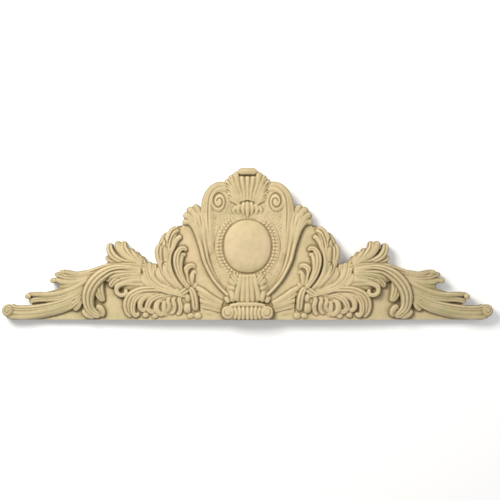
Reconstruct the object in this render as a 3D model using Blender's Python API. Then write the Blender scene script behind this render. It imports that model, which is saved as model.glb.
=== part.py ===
"""Overdoor ornament in the rococo manner, carved and cast as one piece.

A flat board with a straight underside carries a shield with a plain raised oval between two
volutes, a shell crest above it, a scroll block below it, and leaf wings that run out to both sides.
Metres, +Z up. The back lies in the plane y = 0 and the carving faces -Y. The origin is on the back,
on the centre line, at half the height.
"""
import bmesh
import bpy
import numpy as np

# Driving dimensions, in metres
LENGTH = 1.470  # leaf tip to leaf tip
HEIGHT = 0.453  # underside to the top of the crest
BOARD = 0.024  # thickness of the backing board
RELIEF = 0.048  # highest carving above the face of the board
DETAIL = 0.0020  # pitch of the grid that the relief is worked out on
TRIANGLES = 9100  # how many flat facets the finished solid is drawn with

MILLIMETRES = 1000.0  # in a metre

# The carving is drawn in millimetres for the sizes above, and stretches with them
DRAWN_LENGTH = 1470.0
DRAWN_HEIGHT = 453.0
DRAWN_BOARD = 24.0
DRAWN_RELIEF = 48.0
BEHIND = 8.0  # the carving is drawn this far past the back and the underside, and is then cut flat
OVERLAP = 44.0  # shapes near the centre line are drawn this far across it
NOWHERE = -1000.0  # the height where there is no carving
SMOOTHINGS = 4  # how many times the outline is smoothed
ROUNDNESS = 0.62  # depth of the rounding of a blade as a share of its half width
DEEPEST_DOME = 12.0  # a wide blade is rounded no deeper than this
RIB_DEPTH = 0.7  # depth between two ribs as a share of half the width of one
FILLET = 1.5  # height over which two shapes run into each other where they meet
WIDE_RISE = 18.0  # the plain ground above the board, near the middle
SHIELD_RISE = 25.0  # the plain face of the shield above the board
OVAL = (0, 219)  # centre of the oval

# Each blade: the line of its crest from the centre line out and from the underside up, its half
# widths along that line, its rises above the board, and how many ribs it has side by side. A last
# number stands for how deeply the blade is rounded, and one below nought for a soft foot.
CREST = [
    ([(0, 356), (0, 392), (0, 430)], (4.2, 6.2, 7.5), (33, 37, 36), 1, 0.8),
    ([(8, 354), (11, 385), (15, 408), (17, 430)], (4.2, 5.6, 6.8, 8), (32, 36, 38, 36), 1, 0.8),
    ([(14, 353), (21, 380), (29, 404), (36, 441)], (4.2, 5.6, 7.4, 11), (31, 35, 38, 37), 1, 0.8),
    ([(18, 352), (29, 374), (40, 400), (52, 432)], (4.2, 5.6, 7.6, 11), (30, 34, 37, 33), 1, 0.8),
    ([(21, 350), (33, 369), (46, 391), (64, 420)], (4.2, 5.6, 7.4, 10.5), (29, 33, 35, 30), 1, 0.8),
    ([(22, 348), (35, 364), (48, 380), (64, 398)], (4.2, 5.4, 7, 8.5), (28, 32, 33, 28), 1, 0.8),
    ([(23, 346), (36, 358), (48, 368), (61, 380)], (4, 5, 6.4, 7.5), (27.5, 31, 32, 28), 1, 0.8),
    ([(23, 342), (35, 351), (46, 358), (56, 364)], (4, 4.8, 6, 7), (27, 30, 30, 27), 1, 0.8),
    ([(-14, 443), (0, 443), (16, 443), (30, 441)], (10.5, 10.5, 10.5, 8.5), (42, 43, 42, 39), 1, 0.6),
]
HUSK = [
    ([(0, 354), (0, 334), (0, 315)], (22, 26, 12), (27, 28, 25.5), 1, -0.2),
    ([(0, 354), (0, 328), (0, 306)], (4.5, 7, 3.4), (31, 33, 28), 1, 0.7),
    ([(10, 352), (14, 332), (11, 313)], (4.5, 6.5, 3), (30, 31.5, 27), 1, 0.7),
    ([(22, 346), (28, 330), (24, 315)], (4.5, 6.5, 3), (29, 30, 26.5), 1, 0.7),
    ([(33, 341), (41, 327), (37, 315)], (4.2, 5.6, 3), (28, 29, 26), 1, 0.7),
]
VOLUTE = [
    ([(56, 388), (70, 400), (90, 399), (108, 386), (121, 365), (126, 342), (127, 306)],
     (12, 12, 13, 13, 13, 12, 9), (27, 29, 30, 30, 29, 27, 24), 1),
    ([(58, 384), (76, 392), (96, 384), (110, 362), (116, 330), (116, 285), (113, 235), (107, 184)],
     (12, 16, 20, 22, 22, 21, 18, 15), (29, 33, 33, 32, 31, 30, 28, 21), 1, -0.3),
]
SIDE_LEAF = [
    ([(180, 316), (160, 300), (144, 262)], (22, 17, 10), (15, 19, 19), 1),
    ([(162, 343), (148, 328), (134, 287), (127, 227), (115, 168), (91, 117), (66, 88)],
     (11, 10, 6.4, 5, 4.6, 4.4), (18, 28, 30, 28, 26, 24), 1, 0.8),
    ([(181, 334), (161, 318), (141, 281), (131.5, 225), (119, 172)],
     (12, 10.5, 6.6, 4.6, 3), (18, 28, 30, 27, 24), 1, 0.8),
    ([(193, 315), (172, 305), (150, 275), (136, 222), (123, 168)],
     (12, 10.5, 6.6, 4.6, 3), (20, 29, 31, 28, 24), 1, 0.8),
    ([(196, 291), (172, 291), (154, 268), (140, 222), (127, 172), (103, 124), (80, 95), (57, 72)],
     (9.5, 8.5, 6, 5.2, 5, 5), (21, 31, 34, 34, 32, 30), 1, 0.9),
]
SCALLOP = [
    ([(222, 260), (240, 226), (246, 188), (240, 148), (224, 116), (202, 96)],
     (24, 26, 25, 22, 17, 11), (17, 22, 23, 24, 24, 22), 1),
    ([(196, 250), (208, 242), (220, 222), (228, 192), (231, 164), (226, 138), (212, 112), (193, 91)],
     (7, 7.5, 7.5, 7.5, 6), (24, 31, 33, 32, 28), 1),
    ([(204, 270), (220, 264), (232, 246), (239, 216), (241, 186), (239, 160), (230, 134), (202, 96)],
     (14, 14, 11, 8, 7, 6.5), (23, 31, 31, 30, 27), 1),
    ([(236, 250), (246, 226), (249, 196), (247, 165)], (9, 7, 6.5, 5), (24, 28, 28, 24), 1),
    ([(256, 226), (264, 208), (264, 184), (256, 158), (244, 132)],
     (13, 13, 10, 7.5, 5.5), (22, 29, 28, 26), 1),
    ([(247, 165), (247, 146), (237, 127), (222, 110), (206, 94)],
     (11.5, 9.5, 8, 6.5), (29, 33, 32, 27), 1),
    ([(267, 158), (263, 140), (250, 122), (233, 106), (214, 93)], (8, 7.5, 6.5), (24, 29, 25), 1),
]
SPRAY = [
    ([(202, 186), (208, 160), (198, 130), (180, 100)], (17, 18, 16, 11), (24, 30, 31, 28), 1),
    ([(181, 205), (189, 213), (202, 209), (211, 190), (212, 165), (204, 138), (190, 114), (174, 94)],
     (6, 9, 11, 10, 8.5, 7), (26, 36, 40, 39, 34), 2),
    ([(184, 190), (192, 194), (199, 178), (200, 154), (193, 130), (182, 106)],
     (5.5, 7.5, 7.5, 6.5, 5.5), (26, 34, 37, 35, 31), 1),
    ([(155, 153), (163, 161), (176, 158), (184, 146), (183, 126), (173, 98)],
     (6, 9, 9.5, 9, 7), (21, 30, 34, 33, 29), 2),
    ([(152, 134), (159, 140), (166, 126), (168, 100)], (6.5, 8.5, 8, 6.5), (19, 26, 28, 26), 1),
    ([(152, 114), (156, 106), (163, 92)], (7, 8, 8), (18, 24, 24), 1),
]
BASE_SPRAY = [
    ([(150, 62), (116, 49), (82, 36)], (38, 27, 15), (20, 22, 21), 1),
    ([(155, 97), (133, 85), (112, 70), (92, 58), (73, 49)], (8, 8.5, 8, 6.5), (23, 27, 26, 24), 1),
    ([(150, 80), (126, 67), (101, 53), (76, 42)], (8.5, 9, 8, 6), (23, 26, 25, 24), 2),
    ([(146, 61), (121, 52), (98, 43), (76, 34)], (8.5, 9, 7.5, 6), (22, 25, 24, 22), 1),
    ([(142, 43), (119, 38), (96, 31), (78, 25)], (8.5, 9, 7.5, 6), (20, 23, 22, 21), 2),
    ([(138, 25), (115, 22), (92, 15)], (9, 9, 7), (17, 20, 18), 1),
    ([(134, 6), (108, 8), (84, 7)], (8, 8, 6), (15, 17, 15), 1, 0.4),
]
CALYX = [
    ([(186, 92), (188, 56), (188, 20)], (34, 42, 44), (24, 24, 20), 1, 0.3),
    ([(172, 98), (162, 78), (157, 54), (155, 26)], (8, 10.5, 11, 9.5), (31, 34, 32, 27), 2),
    ([(180, 74), (176, 50), (175, 20)], (7, 8.5, 8), (27, 30, 26), 1, 0.6),
    ([(192, 74), (190, 48), (190, 18)], (7, 8, 7.5), (27, 29, 25), 1, 0.6),
    ([(206, 66), (206, 42), (205, 15)], (5.5, 6.5, 6), (26, 28, 24), 1, 0.6),
    ([(174, 95), (192, 82), (211, 72)], (11, 11, 9), (30, 32, 28), 2),
    ([(221, 68), (222, 42), (221, 13)], (7, 8, 7), (26, 28, 24), 1, 0.6),
    ([(235, 68), (237, 44), (234, 16)], (7, 8, 7), (25, 27, 23), 1, 0.6),
    ([(200, 92), (218, 82), (246, 76)], (9, 10, 9), (27, 30, 27), 1),
    ([(144, 9), (190, 8), (246, 8)], (8, 8, 7), (17, 19, 16), 1, 0.4),
]
PENDANT = [
    ([(0, 136), (0, 95), (0, 48)], (36, 32, 50), (29, 32, 30), 1, 0.4),
    ([(44, 128), (47, 98), (48, 72), (52, 52)], (12, 15, 15, 16), (24, 27, 27, 26), 1, 0.4),
    ([(0, 136), (0, 98), (0, 50)], (5, 6.5, 7), (38, 42, 39), 1),
    ([(9, 137), (12, 100), (15, 52)], (5.5, 7, 7.5), (36, 41, 38), 1),
    ([(19, 138), (24, 104), (30, 78), (31, 54)], (6, 7.5, 8.5, 8), (35, 39, 38, 34), 1),
    ([(48, 138), (40, 128), (29, 112), (25, 96)], (10, 9.5, 8, 5.5), (27, 34, 37, 35), 2),
    ([(59, 120), (46, 114), (35, 103)], (9.5, 9, 7), (26, 33, 36), 1),
    ([(59, 101), (48, 97), (37, 92)], (8.5, 8, 7), (26, 32, 35), 1),
    ([(60, 83), (49, 80), (43, 68), (45, 52)], (9, 9.5, 8.5, 8), (26, 33, 35, 31), 1),
    ([(68, 69), (60, 61), (57, 49)], (8, 8, 7), (24, 28, 28), 1),
]
BLOCK = [
    ([(-24, 21), (0, 21), (40, 21), (60, 21)], (24, 24, 24, 21), (37, 38, 38, 37), 1, 0.2),
    ([(-14, 45), (0, 46), (28, 46), (54, 41)], (6, 6, 6, 5.5), (41, 42, 41, 38), 1),
    ([(0, 40), (0, 21), (0, 0)], (5, 5.4, 5), (42, 45, 43), 1, 0.8),
    ([(13.5, 40), (11.5, 21), (13.5, 0)], (4.8, 5.2, 4.8), (42, 45, 43), 1, 0.8),
    ([(26, 40), (22.5, 21), (26, 0)], (4.8, 5.2, 4.8), (42, 45, 43), 1, 0.8),
    ([(38, 38), (33, 21), (38, 2)], (4.4, 4.8, 4.4), (42, 44, 42), 1, 0.8),
]
WING_ROOT = [
    ([(292, 150), (278, 122), (240, 94), (192, 76)], (32, 30, 20, 14), (20, 25, 27, 25), 1),
    ([(308, 171), (305, 147), (297, 122), (277, 101), (251, 88), (215, 78), (184, 70)],
     (9, 9, 8.5, 7.5, 6.5), (22, 30, 33, 32, 29), 2),
    ([(293, 173), (292, 150), (283, 126), (264, 107), (238, 94), (204, 82)],
     (9, 9, 8, 6.5), (21, 29, 30, 27), 1),
    ([(278, 169), (278, 150), (270, 131), (252, 112), (228, 98)],
     (8.5, 8.5, 7.5, 6.5), (19, 27, 28, 26), 2),
    ([(318, 140), (311, 120), (297, 105), (274, 92)], (8.5, 9, 8, 6.5), (26, 31, 31, 28), 1),
    ([(332, 120), (317, 106), (296, 93)], (8.5, 8.5, 7), (26, 29, 27), 1),
]
PLUME = [
    ([(384, 204), (358, 184), (316, 165)], (34, 27, 9), (17, 22, 24), 1),
    ([(411, 230), (411, 208), (398, 188), (372, 174), (344, 166), (314, 162)],
     (10, 12, 10, 8, 6), (16, 26, 28, 29, 27), 2),
    ([(424, 190), (414, 182), (394, 174), (366, 168)], (8, 10, 8, 6), (16, 22, 24, 23), 2),
    ([(390, 236), (384, 216), (368, 195), (344, 178), (314, 164)],
     (9, 11, 9, 7, 5), (18, 27, 30, 29, 27), 1),
    ([(370, 236), (368, 214), (354, 194), (336, 177), (314, 165)],
     (9.5, 11, 9, 7, 5), (18, 28, 31, 30, 27), 2),
    ([(350, 214), (345, 199), (330, 182), (313, 168)], (9, 10, 8, 5.5), (18, 27, 28, 26), 1),
    ([(334, 204), (328, 190), (313, 172)], (8, 8.5, 6), (17, 24, 24), 1),
    ([(318, 190), (311, 176), (302, 160)], (7, 8, 7), (16, 22, 22), 1),
]
STEM = [
    ([(302, 158), (350, 164), (408, 161), (444, 151), (480, 138), (520, 123)],
     (9, 9, 9, 9.5, 10, 9), (25, 29, 29, 27, 23, 18), 2),
    ([(316, 149), (360, 155), (400, 151), (434, 134), (458, 110), (472, 84), (476, 58), (471, 34),
      (456, 18), (438, 13)],
     (8, 10, 14, 18, 20, 19, 15, 11), (29, 35, 38, 40, 39, 35, 27, 20), 3),
    ([(438, 118), (444, 92), (438, 68), (428, 54)], (9, 15, 14, 8), (24, 28, 26, 20), 3),
    ([(492, 30), (478, 14), (456, 8)], (9, 9, 7), (18, 21, 17), 1),
    ([(452, 42), (438, 34), (432, 20), (440, 10)], (7, 8.5, 8, 7), (19, 25, 24, 18), 1),
]
INNER_LEAF = [
    ([(388, 116), (350, 118), (314, 118)], (32, 30, 24), (23, 29, 28), 1),
    ([(420, 113), (410, 130), (386, 138), (350, 142), (316, 141)],
     (12, 13, 10, 8.5, 7.5), (25, 34, 36, 35, 32), 2),
    ([(410, 96), (402, 110), (384, 124), (352, 130), (316, 130)],
     (9, 11, 10, 8.5, 7.5), (24, 32, 34, 34, 31), 2),
    ([(390, 92), (382, 104), (366, 114), (340, 119), (314, 118)], (9, 10, 9, 8), (24, 31, 33, 31), 1),
    ([(364, 92), (363, 79), (376, 73), (389, 82), (388, 99), (370, 108), (345, 109), (312, 106)],
     (5.5, 6.5, 7, 8, 8, 7.5, 7), (28, 32, 33, 33, 32, 30, 28), 1),
    ([(352, 97), (332, 99), (306, 98)], (7, 8, 7), (23, 27, 26), 1),
]
LOWER_LEAF = [
    ([(320, 44), (308, 64), (284, 72), (240, 75), (196, 72)],
     (34, 30, 24, 16, 11), (20, 24, 25, 26, 25), 1),
    ([(344, 8), (357, 24), (360, 50), (348, 74), (320, 89), (290, 92), (258, 90), (224, 83), (190, 74)],
     (9, 12, 11.5, 10.5, 9.5, 8.5, 7), (20, 29, 33, 33, 31, 28), 2),
    ([(322, 20), (334, 13), (342, 28), (339, 54), (322, 74), (294, 82), (262, 81)],
     (6, 8, 9.5, 10, 8.5, 6.5), (24, 28, 30, 31, 29, 27), 2),
    ([(302, 36), (311, 28), (320, 38), (316, 58), (298, 72), (272, 77)],
     (5.5, 7.5, 9, 8, 6.5), (24, 28, 30, 29, 26), 1),
    ([(312, 8), (304, 14), (294, 12)], (7, 8, 7), (22, 25, 22), 1),
    ([(276, 30), (286, 23), (298, 36), (289, 58), (268, 70), (242, 75)],
     (6, 8.5, 10, 9, 7), (23, 28, 30, 28, 26), 2),
    ([(284, 6), (274, 12), (264, 10)], (7, 8, 7), (21, 24, 21), 1),
    ([(248, 24), (258, 16), (271, 30), (269, 50), (254, 64)], (6, 8, 9, 8.5, 7), (22, 26, 28, 26, 23), 1),
    ([(243, 8), (249, 34), (247, 58)], (8, 8, 7), (20, 24, 24), 1),
]
FRONDS = [
    ([(562, 118), (520, 118), (476, 122)], (20, 22, 22), (14, 18, 20), 1),
    ([(640, 66), (590, 69), (540, 82), (490, 104)], (13, 17, 21, 26), (12, 16, 18, 19), 1),
    ([(716, 22), (650, 20), (600, 28), (545, 46), (494, 76)],
     (19, 20, 20, 22, 22), (11, 14, 16, 18, 19), 1),
    ([(557, 144), (538, 141), (518, 137), (495, 138), (468, 143)],
     (7, 8, 8, 9, 7.5), (15, 20, 21, 22, 24), 1),
    ([(578, 136), (562, 134), (540, 128), (510, 127), (480, 134)],
     (8, 9.5, 9, 8, 7), (13, 19, 20, 22, 23), 2),
    ([(586, 115), (576, 118), (552, 113), (522, 112), (492, 120), (466, 131)],
     (6, 8, 9, 8.5, 7, 5.5), (13, 19, 20, 21, 22, 23), 1),
    ([(566, 102), (540, 101), (512, 106), (486, 117)], (8.5, 8.5, 8, 6.5), (12, 18, 20, 21), 1),
    ([(660, 73), (645, 76), (622, 76), (596, 74), (566, 78), (536, 88), (506, 102), (474, 121)],
     (7, 7, 7.5, 7.5, 7.5, 7.5, 7, 6), (13, 19, 20, 21, 23, 23), 1),
    ([(655, 54), (628, 60), (596, 61), (556, 66), (520, 80), (488, 100)],
     (8.5, 8.5, 8.5, 8, 6.5), (12, 17, 19, 21, 21), 2),
    ([(722, 14), (705, 8), (670, 8), (630, 13), (584, 24)], (8, 8, 7.5, 7, 6), (13, 15, 15, 16), 1),
    ([(712, 40), (690, 34), (652, 34), (606, 40), (556, 52), (516, 69), (484, 92)],
     (9, 9, 9, 9, 9, 7.5), (14, 17, 19, 21, 22), 2),
    ([(704, 22), (680, 20), (640, 22), (596, 30), (556, 42), (520, 58)],
     (7.5, 8.5, 8.5, 8, 7), (14, 16, 18, 19, 20), 1),
    ([(552, 30), (528, 40), (510, 54), (496, 74)], (8, 9, 9, 7), (14, 18, 21, 21), 2),
    ([(520, 28), (506, 40), (497, 60)], (8, 8, 7.5), (14, 18, 20), 1),
]

# Grooves: line, half widths and depths
GROOVES = [
    ([(-4, 431), (10, 431), (22, 431), (28, 438)], (3.5, 4, 3, 2), (4, 4, 3.4, 2)),
    ([(34, 430), (40, 436), (42, 446)], (2.2, 2.4, 2.2), (4, 4, 3)),
    ([(47, 418), (53, 424), (57, 431)], (2.2, 2.4, 2.2), (4, 4, 3)),
    ([(64, 408), (52, 396)], (3.2, 2.4), (6, 3)),
    ([(62, 390), (48, 377)], (3.2, 2.4), (6, 3)),
    ([(58, 373), (45, 364)], (3.2, 2.4), (6, 3)),
    ([(84, 354), (87, 353)], (3.6, 3.6), (6, 6)),
    ([(55, 22), (59, 23)], (2.6, 2.6), (5, 5)),
    ([(214, 214), (222, 196), (224, 172), (218, 146), (206, 120), (194, 104)],
     (2, 3.5, 4, 4, 3, 2), (4, 11, 13, 12, 8, 4)),
    ([(191, 172), (192, 155), (188, 138), (180, 118)], (2, 3, 3.2, 2), (3, 9, 10, 4)),
    ([(145, 76), (144, 50), (142, 22)], (2, 3, 2.6), (3, 7, 6)),
    ([(168, 60), (169, 40), (167, 20)], (1.6, 2.2, 1.6), (2, 4, 2)),
    ([(215, 60), (214, 40), (215, 16)], (1.6, 2.2, 1.6), (2, 4, 2)),
    ([(196, 268), (208, 272), (222, 265), (231, 248), (237, 226), (240, 198)],
     (2.4, 3, 3, 2.2), (3.5, 5.5, 5, 2)),
    ([(204, 259), (215, 256), (225, 240), (231, 212)], (2.4, 2.8, 2.2), (3, 5, 2)),
    ([(249, 245), (243, 230), (244, 206)], (3.4, 3.4, 2.4), (8, 6, 2)),
    ([(238, 212), (245, 220), (252, 214), (253, 196), (250, 176)], (2.4, 2.8, 2.4), (3, 5, 2)),
    ([(256, 229), (262, 217), (264, 198), (260, 176)], (2.4, 2.8, 2.2), (3, 5, 2)),
    ([(239, 169), (247, 173), (254, 165), (253, 148), (245, 132)], (2.4, 2.8, 2.4), (3, 5, 2)),
    ([(152, 335), (141, 308), (135, 270)], (1.8, 2.2, 1.8), (1, 2.6, 1)),
    ([(174, 331), (155, 310), (144, 276)], (1.8, 2.2, 1.8), (1, 2.6, 1)),
    ([(188, 313), (165, 301), (153, 274)], (1.8, 2.2, 1.8), (1, 2.6, 1)),
    ([(402, 236), (403, 226), (396, 208)], (2.6, 3.4, 2), (5, 8, 2)),
    ([(386, 124), (374, 119)], (2.6, 2), (4, 2)),
    ([(575, 112), (560, 107)], (2.4, 2), (4, 2)),
    ([(650, 66), (628, 67)], (2.4, 2), (4, 2)),
    ([(545, 138), (528, 132)], (2.4, 2), (3, 2)),
]

# Spirals: centre, outer radii, inner radii, start in degrees, turns, half widths and values
SPIRAL_GROOVES = [
    ((85, 353), (25, 35), (5, 5), -15, 2.0, (2.4, 4.2, 4.4, 4.0, 3.2), (1, 2.6, 4.0, 4.4, 4)),
    ((57, 22), (15, 15), (6, 6), 150, 1.25, (2, 2.6, 2.6, 2), (1, 3, 3, 2)),
    ((718, 27), (11, 12), (3, 3), 200, 1.3, (2, 2.6, 2.6, 2), (1, 2.6, 3, 3)),
    ((0, 219), (73, 82), (73, 82), 91, 0.51, (3.2, 3.2), (1.6, 1.6)),
    ((0, 219), (98, 107), (98, 107), 72, 0.42, (1.2, 2.4, 2.4, 2.4, 1.2), (0.2, 1.6, 2, 1.6, 0.2)),
]

# Round bosses: centre, radii across and up, rise above the board, depth of the dome, and squareness
BOSSES = [
    ((0, 402), (54, 46), 29, 8, 3.0),
    ((0, 219), (70, 79), 37, 12, 2.2),
    ((86, 353), (45, 53), 34, -10, 2.0),
    ((57, 22), (20, 20), 45, 9, 2.2),
    ((148, 12), (11, 10), 24, 6, 2.2),
    ((170, 12), (10, 9), 24, 6, 2.2),
    ((718, 27), (17, 19), 20, 9, 2.0),
    ((656, 70), (10, 9), 21, 7, 2.0),
    ((580, 117), (11, 9), 20, 7, 2.0),
    ((553, 142), (11, 8), 20, 7, 2.0),
]
BEAD_ROWS = [(79.5, 88.5, 4.3, 28.5), (89, 98, 4.2, 27.5)]  # radii across and up, of a bead, and its rise
BEAD_ARC = (-68, 52)  # degrees at which the rows begin and end, from straight out
BEAD_PITCH = 10.5

# Outline of the board from the crest out to the tip and below the underside, where it is cut flat
OUTLINE = [
    (0, 444), (30, 440), (42, 430), (54, 418), (64, 408), (82, 406), (96, 400), (112, 386), (122, 372),
    (130, 356), (136, 341), (138, 333), (150, 333), (174, 318), (188, 300), (196, 284), (210, 281),
    (222, 272), (234, 256), (244, 243), (256, 236), (264, 226), (269, 214), (270, 190), (269, 168),
    (300, 160), (314, 172), (328, 188), (344, 204), (364, 214), (390, 216), (408, 208), (412, 186),
    (420, 172), (440, 157), (480, 145), (524, 139), (534, 112), (562, 92), (620, 66), (652, 40),
    (700, 34), (722, 24), (702, 6), (686, -BEHIND),
]

GROUPS = (CREST, HUSK, VOLUTE, SIDE_LEAF, SCALLOP, SPRAY, BASE_SPRAY, CALYX, PENDANT, BLOCK,
          WING_ROOT, PLUME, STEM, INNER_LEAF, LOWER_LEAF, FRONDS)


def through(points, count):
    """A smooth curve through the points: cubic pieces whose slope at a point follows its neighbours."""
    knots = np.asarray(points, float)
    if knots.ndim == 1:
        knots = knots[:, None]
    padded = np.vstack([2 * knots[0] - knots[1], knots, 2 * knots[-1] - knots[-2]])
    place = np.linspace(0, len(knots) - 1, count)
    piece = np.minimum(place.astype(int), len(knots) - 2)
    t = (place - piece)[:, None]
    a, b, c, d = (padded[piece + k] for k in range(4))
    return 0.5 * (2 * b + (c - a) * t + (2 * a - 5 * b + 4 * c - d) * t**2
                  + (3 * b - a - 3 * c + d) * t**3)


def even(points, step):
    """The same curve in steps of equal length, and how far along each step is."""
    curve = through(points, 24 * len(points))
    run = np.concatenate([[0], np.cumsum(np.linalg.norm(np.diff(curve, axis=0), axis=1))])
    places = np.linspace(0, run[-1], max(6, int(run[-1] / step) + 1))
    return np.stack([np.interp(places, run, curve[:, k]) for k in range(2)], axis=1), places


def smooth(low, high, value):
    """0 below low, 1 above high, and an easy slope t^2 (3 - 2 t) between them."""
    t = np.clip((value - low) / (high - low), 0, 1)
    return t * t * (3 - 2 * t)


def window(out, up, points, reach):
    """The rows and columns of the grid that lie within reach of the points."""
    low, high = np.min(points, axis=0) - reach, np.max(points, axis=0) + reach
    return slice(*np.searchsorted(up, (low[1], high[1]))), slice(*np.searchsorted(out, (low[0], high[0])))


def along(out, up, spine, widths, values):
    """How the grid near a line lies on it: across, nearness, the value there, half width, lack.

    Across is the distance from the line over the half width. Lack is how much of the half width is
    missing between the point and the tip. Nearness is across^2 + lack^2, and is 1 at the edge.
    """
    line, run = even(spine, 2.0)
    slope = np.gradient(line, axis=0)
    slope /= np.linalg.norm(slope, axis=1, keepdims=True)
    half = through(widths, len(line))[:, 0]
    value = through(values, len(line))[:, 0]
    rows, columns = window(out, up, line, half.max())
    place_out, place_up = np.meshgrid(out[columns], up[rows])
    squares = (place_out[..., None] - line[:, 0]) ** 2 + (place_up[..., None] - line[:, 1]) ** 2
    near = np.argmin(squares, axis=2)
    away_out = place_out - line[near, 0]
    away_up = place_up - line[near, 1]
    place = run[near] + away_out * slope[near, 0] + away_up * slope[near, 1]
    half = np.interp(place, run, half)
    across = (away_up * slope[near, 0] - away_out * slope[near, 1]) / half
    lack = np.maximum(0, 1 - np.minimum(place, run[-1] - place) / half)
    return (rows, columns), across, across**2 + lack**2, np.interp(place, run, value), half, lack


def higher(old, new):
    """The higher of two heights, with a fillet where they meet: FILLET (1 - gap / FILLET)^2 / 4 more."""
    return np.maximum(old, new) + FILLET * np.maximum(0, 1 - abs(old - new) / FILLET) ** 2 / 4


def fall(nearness, soft):
    """How far a rounded form has fallen: 1 - sqrt(1 - nearness) to an upright side, or to a soft
    foot that runs out level, 1 - (1 - nearness)^2."""
    left = np.maximum(0, 1 - nearness)
    return 1 - left**2 if soft else 1 - np.sqrt(left)


def raise_blade(height, out, up, spine, widths, rises, ribs=1, roundness=ROUNDNESS):
    """A ridge along a line, higher than its edge by its dome, with ribs on it.

    A roundness below nought makes a soft swelling. The ribs fall by (1 - cos(pi local^2)) / 2
    between each other, where local runs from -1 to 1 across each of them.
    """
    spot, across, nearness, rise, half, lack = along(out, up, spine, widths, rises)
    dome = np.minimum(abs(roundness) * half, DEEPEST_DOME)
    top = DRAWN_BOARD + rise - dome * fall(nearness, roundness < 0)
    if ribs != 1:
        cap = np.sqrt(np.maximum(0.04, 1 - lack**2))
        local = 2 * ((np.clip(across / cap, -0.999, 0.999) + 1) / 2 * ribs % 1) - 1
        top -= RIB_DEPTH * half / ribs * cap * (0.5 - 0.5 * np.cos(np.pi * local**2))
    height[spot] = np.where(nearness < 1, higher(height[spot], top), height[spot])


def raise_boss(height, out, up, centre, radii, rise, dome, squareness=2.0):
    """A dome whose plan is |u / a|^n + |v / b|^n < 1, with n its squareness; soft if below nought."""
    rows, columns = window(out, up, [centre], max(radii))
    place_out, place_up = np.meshgrid(out[columns], up[rows])
    nearness = (abs((place_out - centre[0]) / radii[0]) ** squareness
                + abs((place_up - centre[1]) / radii[1]) ** squareness)
    top = DRAWN_BOARD + rise - abs(dome) * fall(nearness, dome < 0)
    old = height[rows, columns]
    height[rows, columns] = np.where(nearness < 1, higher(old, top), old)


def cut_groove(height, out, up, spine, widths, depths):
    """A groove along a line, depth * (1 - nearness)^1.5 deep, which never cuts into the board."""
    spot, across, nearness, depth, half, lack = along(out, up, spine, widths, depths)
    old = height[spot]
    floor = np.minimum(old, DRAWN_BOARD)
    height[spot] = np.maximum(floor, old - depth * np.maximum(0, 1 - nearness) ** 1.5)


def ring_beads():
    """Rows of beads that follow the side of the oval at an even pitch."""
    found = []
    for across, up, radius, rise in BEAD_ROWS:
        angles = np.radians(np.linspace(*BEAD_ARC, 400))
        row = np.stack([OVAL[0] + across * np.cos(angles), OVAL[1] + up * np.sin(angles)], axis=1)
        run = np.concatenate([[0], np.cumsum(np.linalg.norm(np.diff(row, axis=0), axis=1))])
        for place in np.arange(0, run[-1], BEAD_PITCH):
            centre = (np.interp(place, run, row[:, 0]), np.interp(place, run, row[:, 1]))
            found.append((centre, (radius, radius), rise, radius))
    return found


def plain_ground(out, up):
    """The board with its plain face: a wide low rise to the middle and the shield upon it.

    The shield is where (u / 127)^3.2 + ((v - 232) / 172)^3.2 is less than one.
    """
    edge = np.asarray(OUTLINE, float)
    below = np.interp(out, edge[:, 0], edge[:, 1]) - up
    wide = WIDE_RISE * (1 - smooth(210, 600, out)) * (1 - 0.35 * smooth(150, 330, up))
    shield = (abs(out / 127) ** 3.2 + abs((up - 232) / 172) ** 3.2) ** (1 / 3.2)
    face = wide + (SHIELD_RISE - wide) * (1 - smooth(0.72, 1.02, shield))
    inside = (below > 0) & (out < edge[:, 0].max())
    return np.where(inside, DRAWN_BOARD + face * smooth(0, 14, below), NOWHERE)


def spiral(centre, outer, inner, start, turns):
    """Points of a spiral that winds clockwise from the outer radii to the inner, from a start in degrees."""
    share = np.linspace(0, 1, int(16 * turns) + 2)
    angle = np.radians(start) - 2 * np.pi * turns * share
    return np.stack([centre[k] + (outer[k] + (inner[k] - outer[k]) * share) * (np.cos, np.sin)[k](angle)
                     for k in (0, 1)], axis=1)


def relief(pitch):
    """Heights of the carving above the back on a grid, for both halves; NOWHERE where there is none."""
    over = int(OVERLAP / pitch)
    out = pitch * np.arange(-over, int(DRAWN_LENGTH / 2 / pitch) + 4)
    up = np.arange(-BEHIND, DRAWN_HEIGHT + BEHIND, pitch)
    height = plain_ground(*np.meshgrid(abs(out), up))
    for row in BOSSES + ring_beads():
        raise_boss(height, out, up, *row)
    for group in GROUPS:
        for row in group:
            raise_blade(height, out, up, *row)
    near = np.maximum(height[:, over::-1], height[:, over:2 * over + 1])
    height = np.hstack([near, height[:, 2 * over + 1:]])
    out = out[over:]
    for row in GROOVES:
        cut_groove(height, out, up, *row)
    for row in SPIRAL_GROOVES:
        cut_groove(height, out, up, spiral(*row[:5]), *row[5:])
    return np.concatenate([-out[:0:-1], out]), up, np.hstack([height[:, :0:-1], height])


def tooled(height, reach):
    """The heights with gaps narrower than the tool filled: highest within reach, then lowest within it."""
    steps = range(-reach, reach + 1)
    shifts = [(k, m) for k in steps for m in steps if k * k + m * m <= reach * reach + 1]
    swollen = np.maximum.reduce([np.roll(height, shift, (0, 1)) for shift in shifts])
    return np.minimum.reduce([np.roll(swollen, shift, (0, 1)) for shift in shifts])


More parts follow.
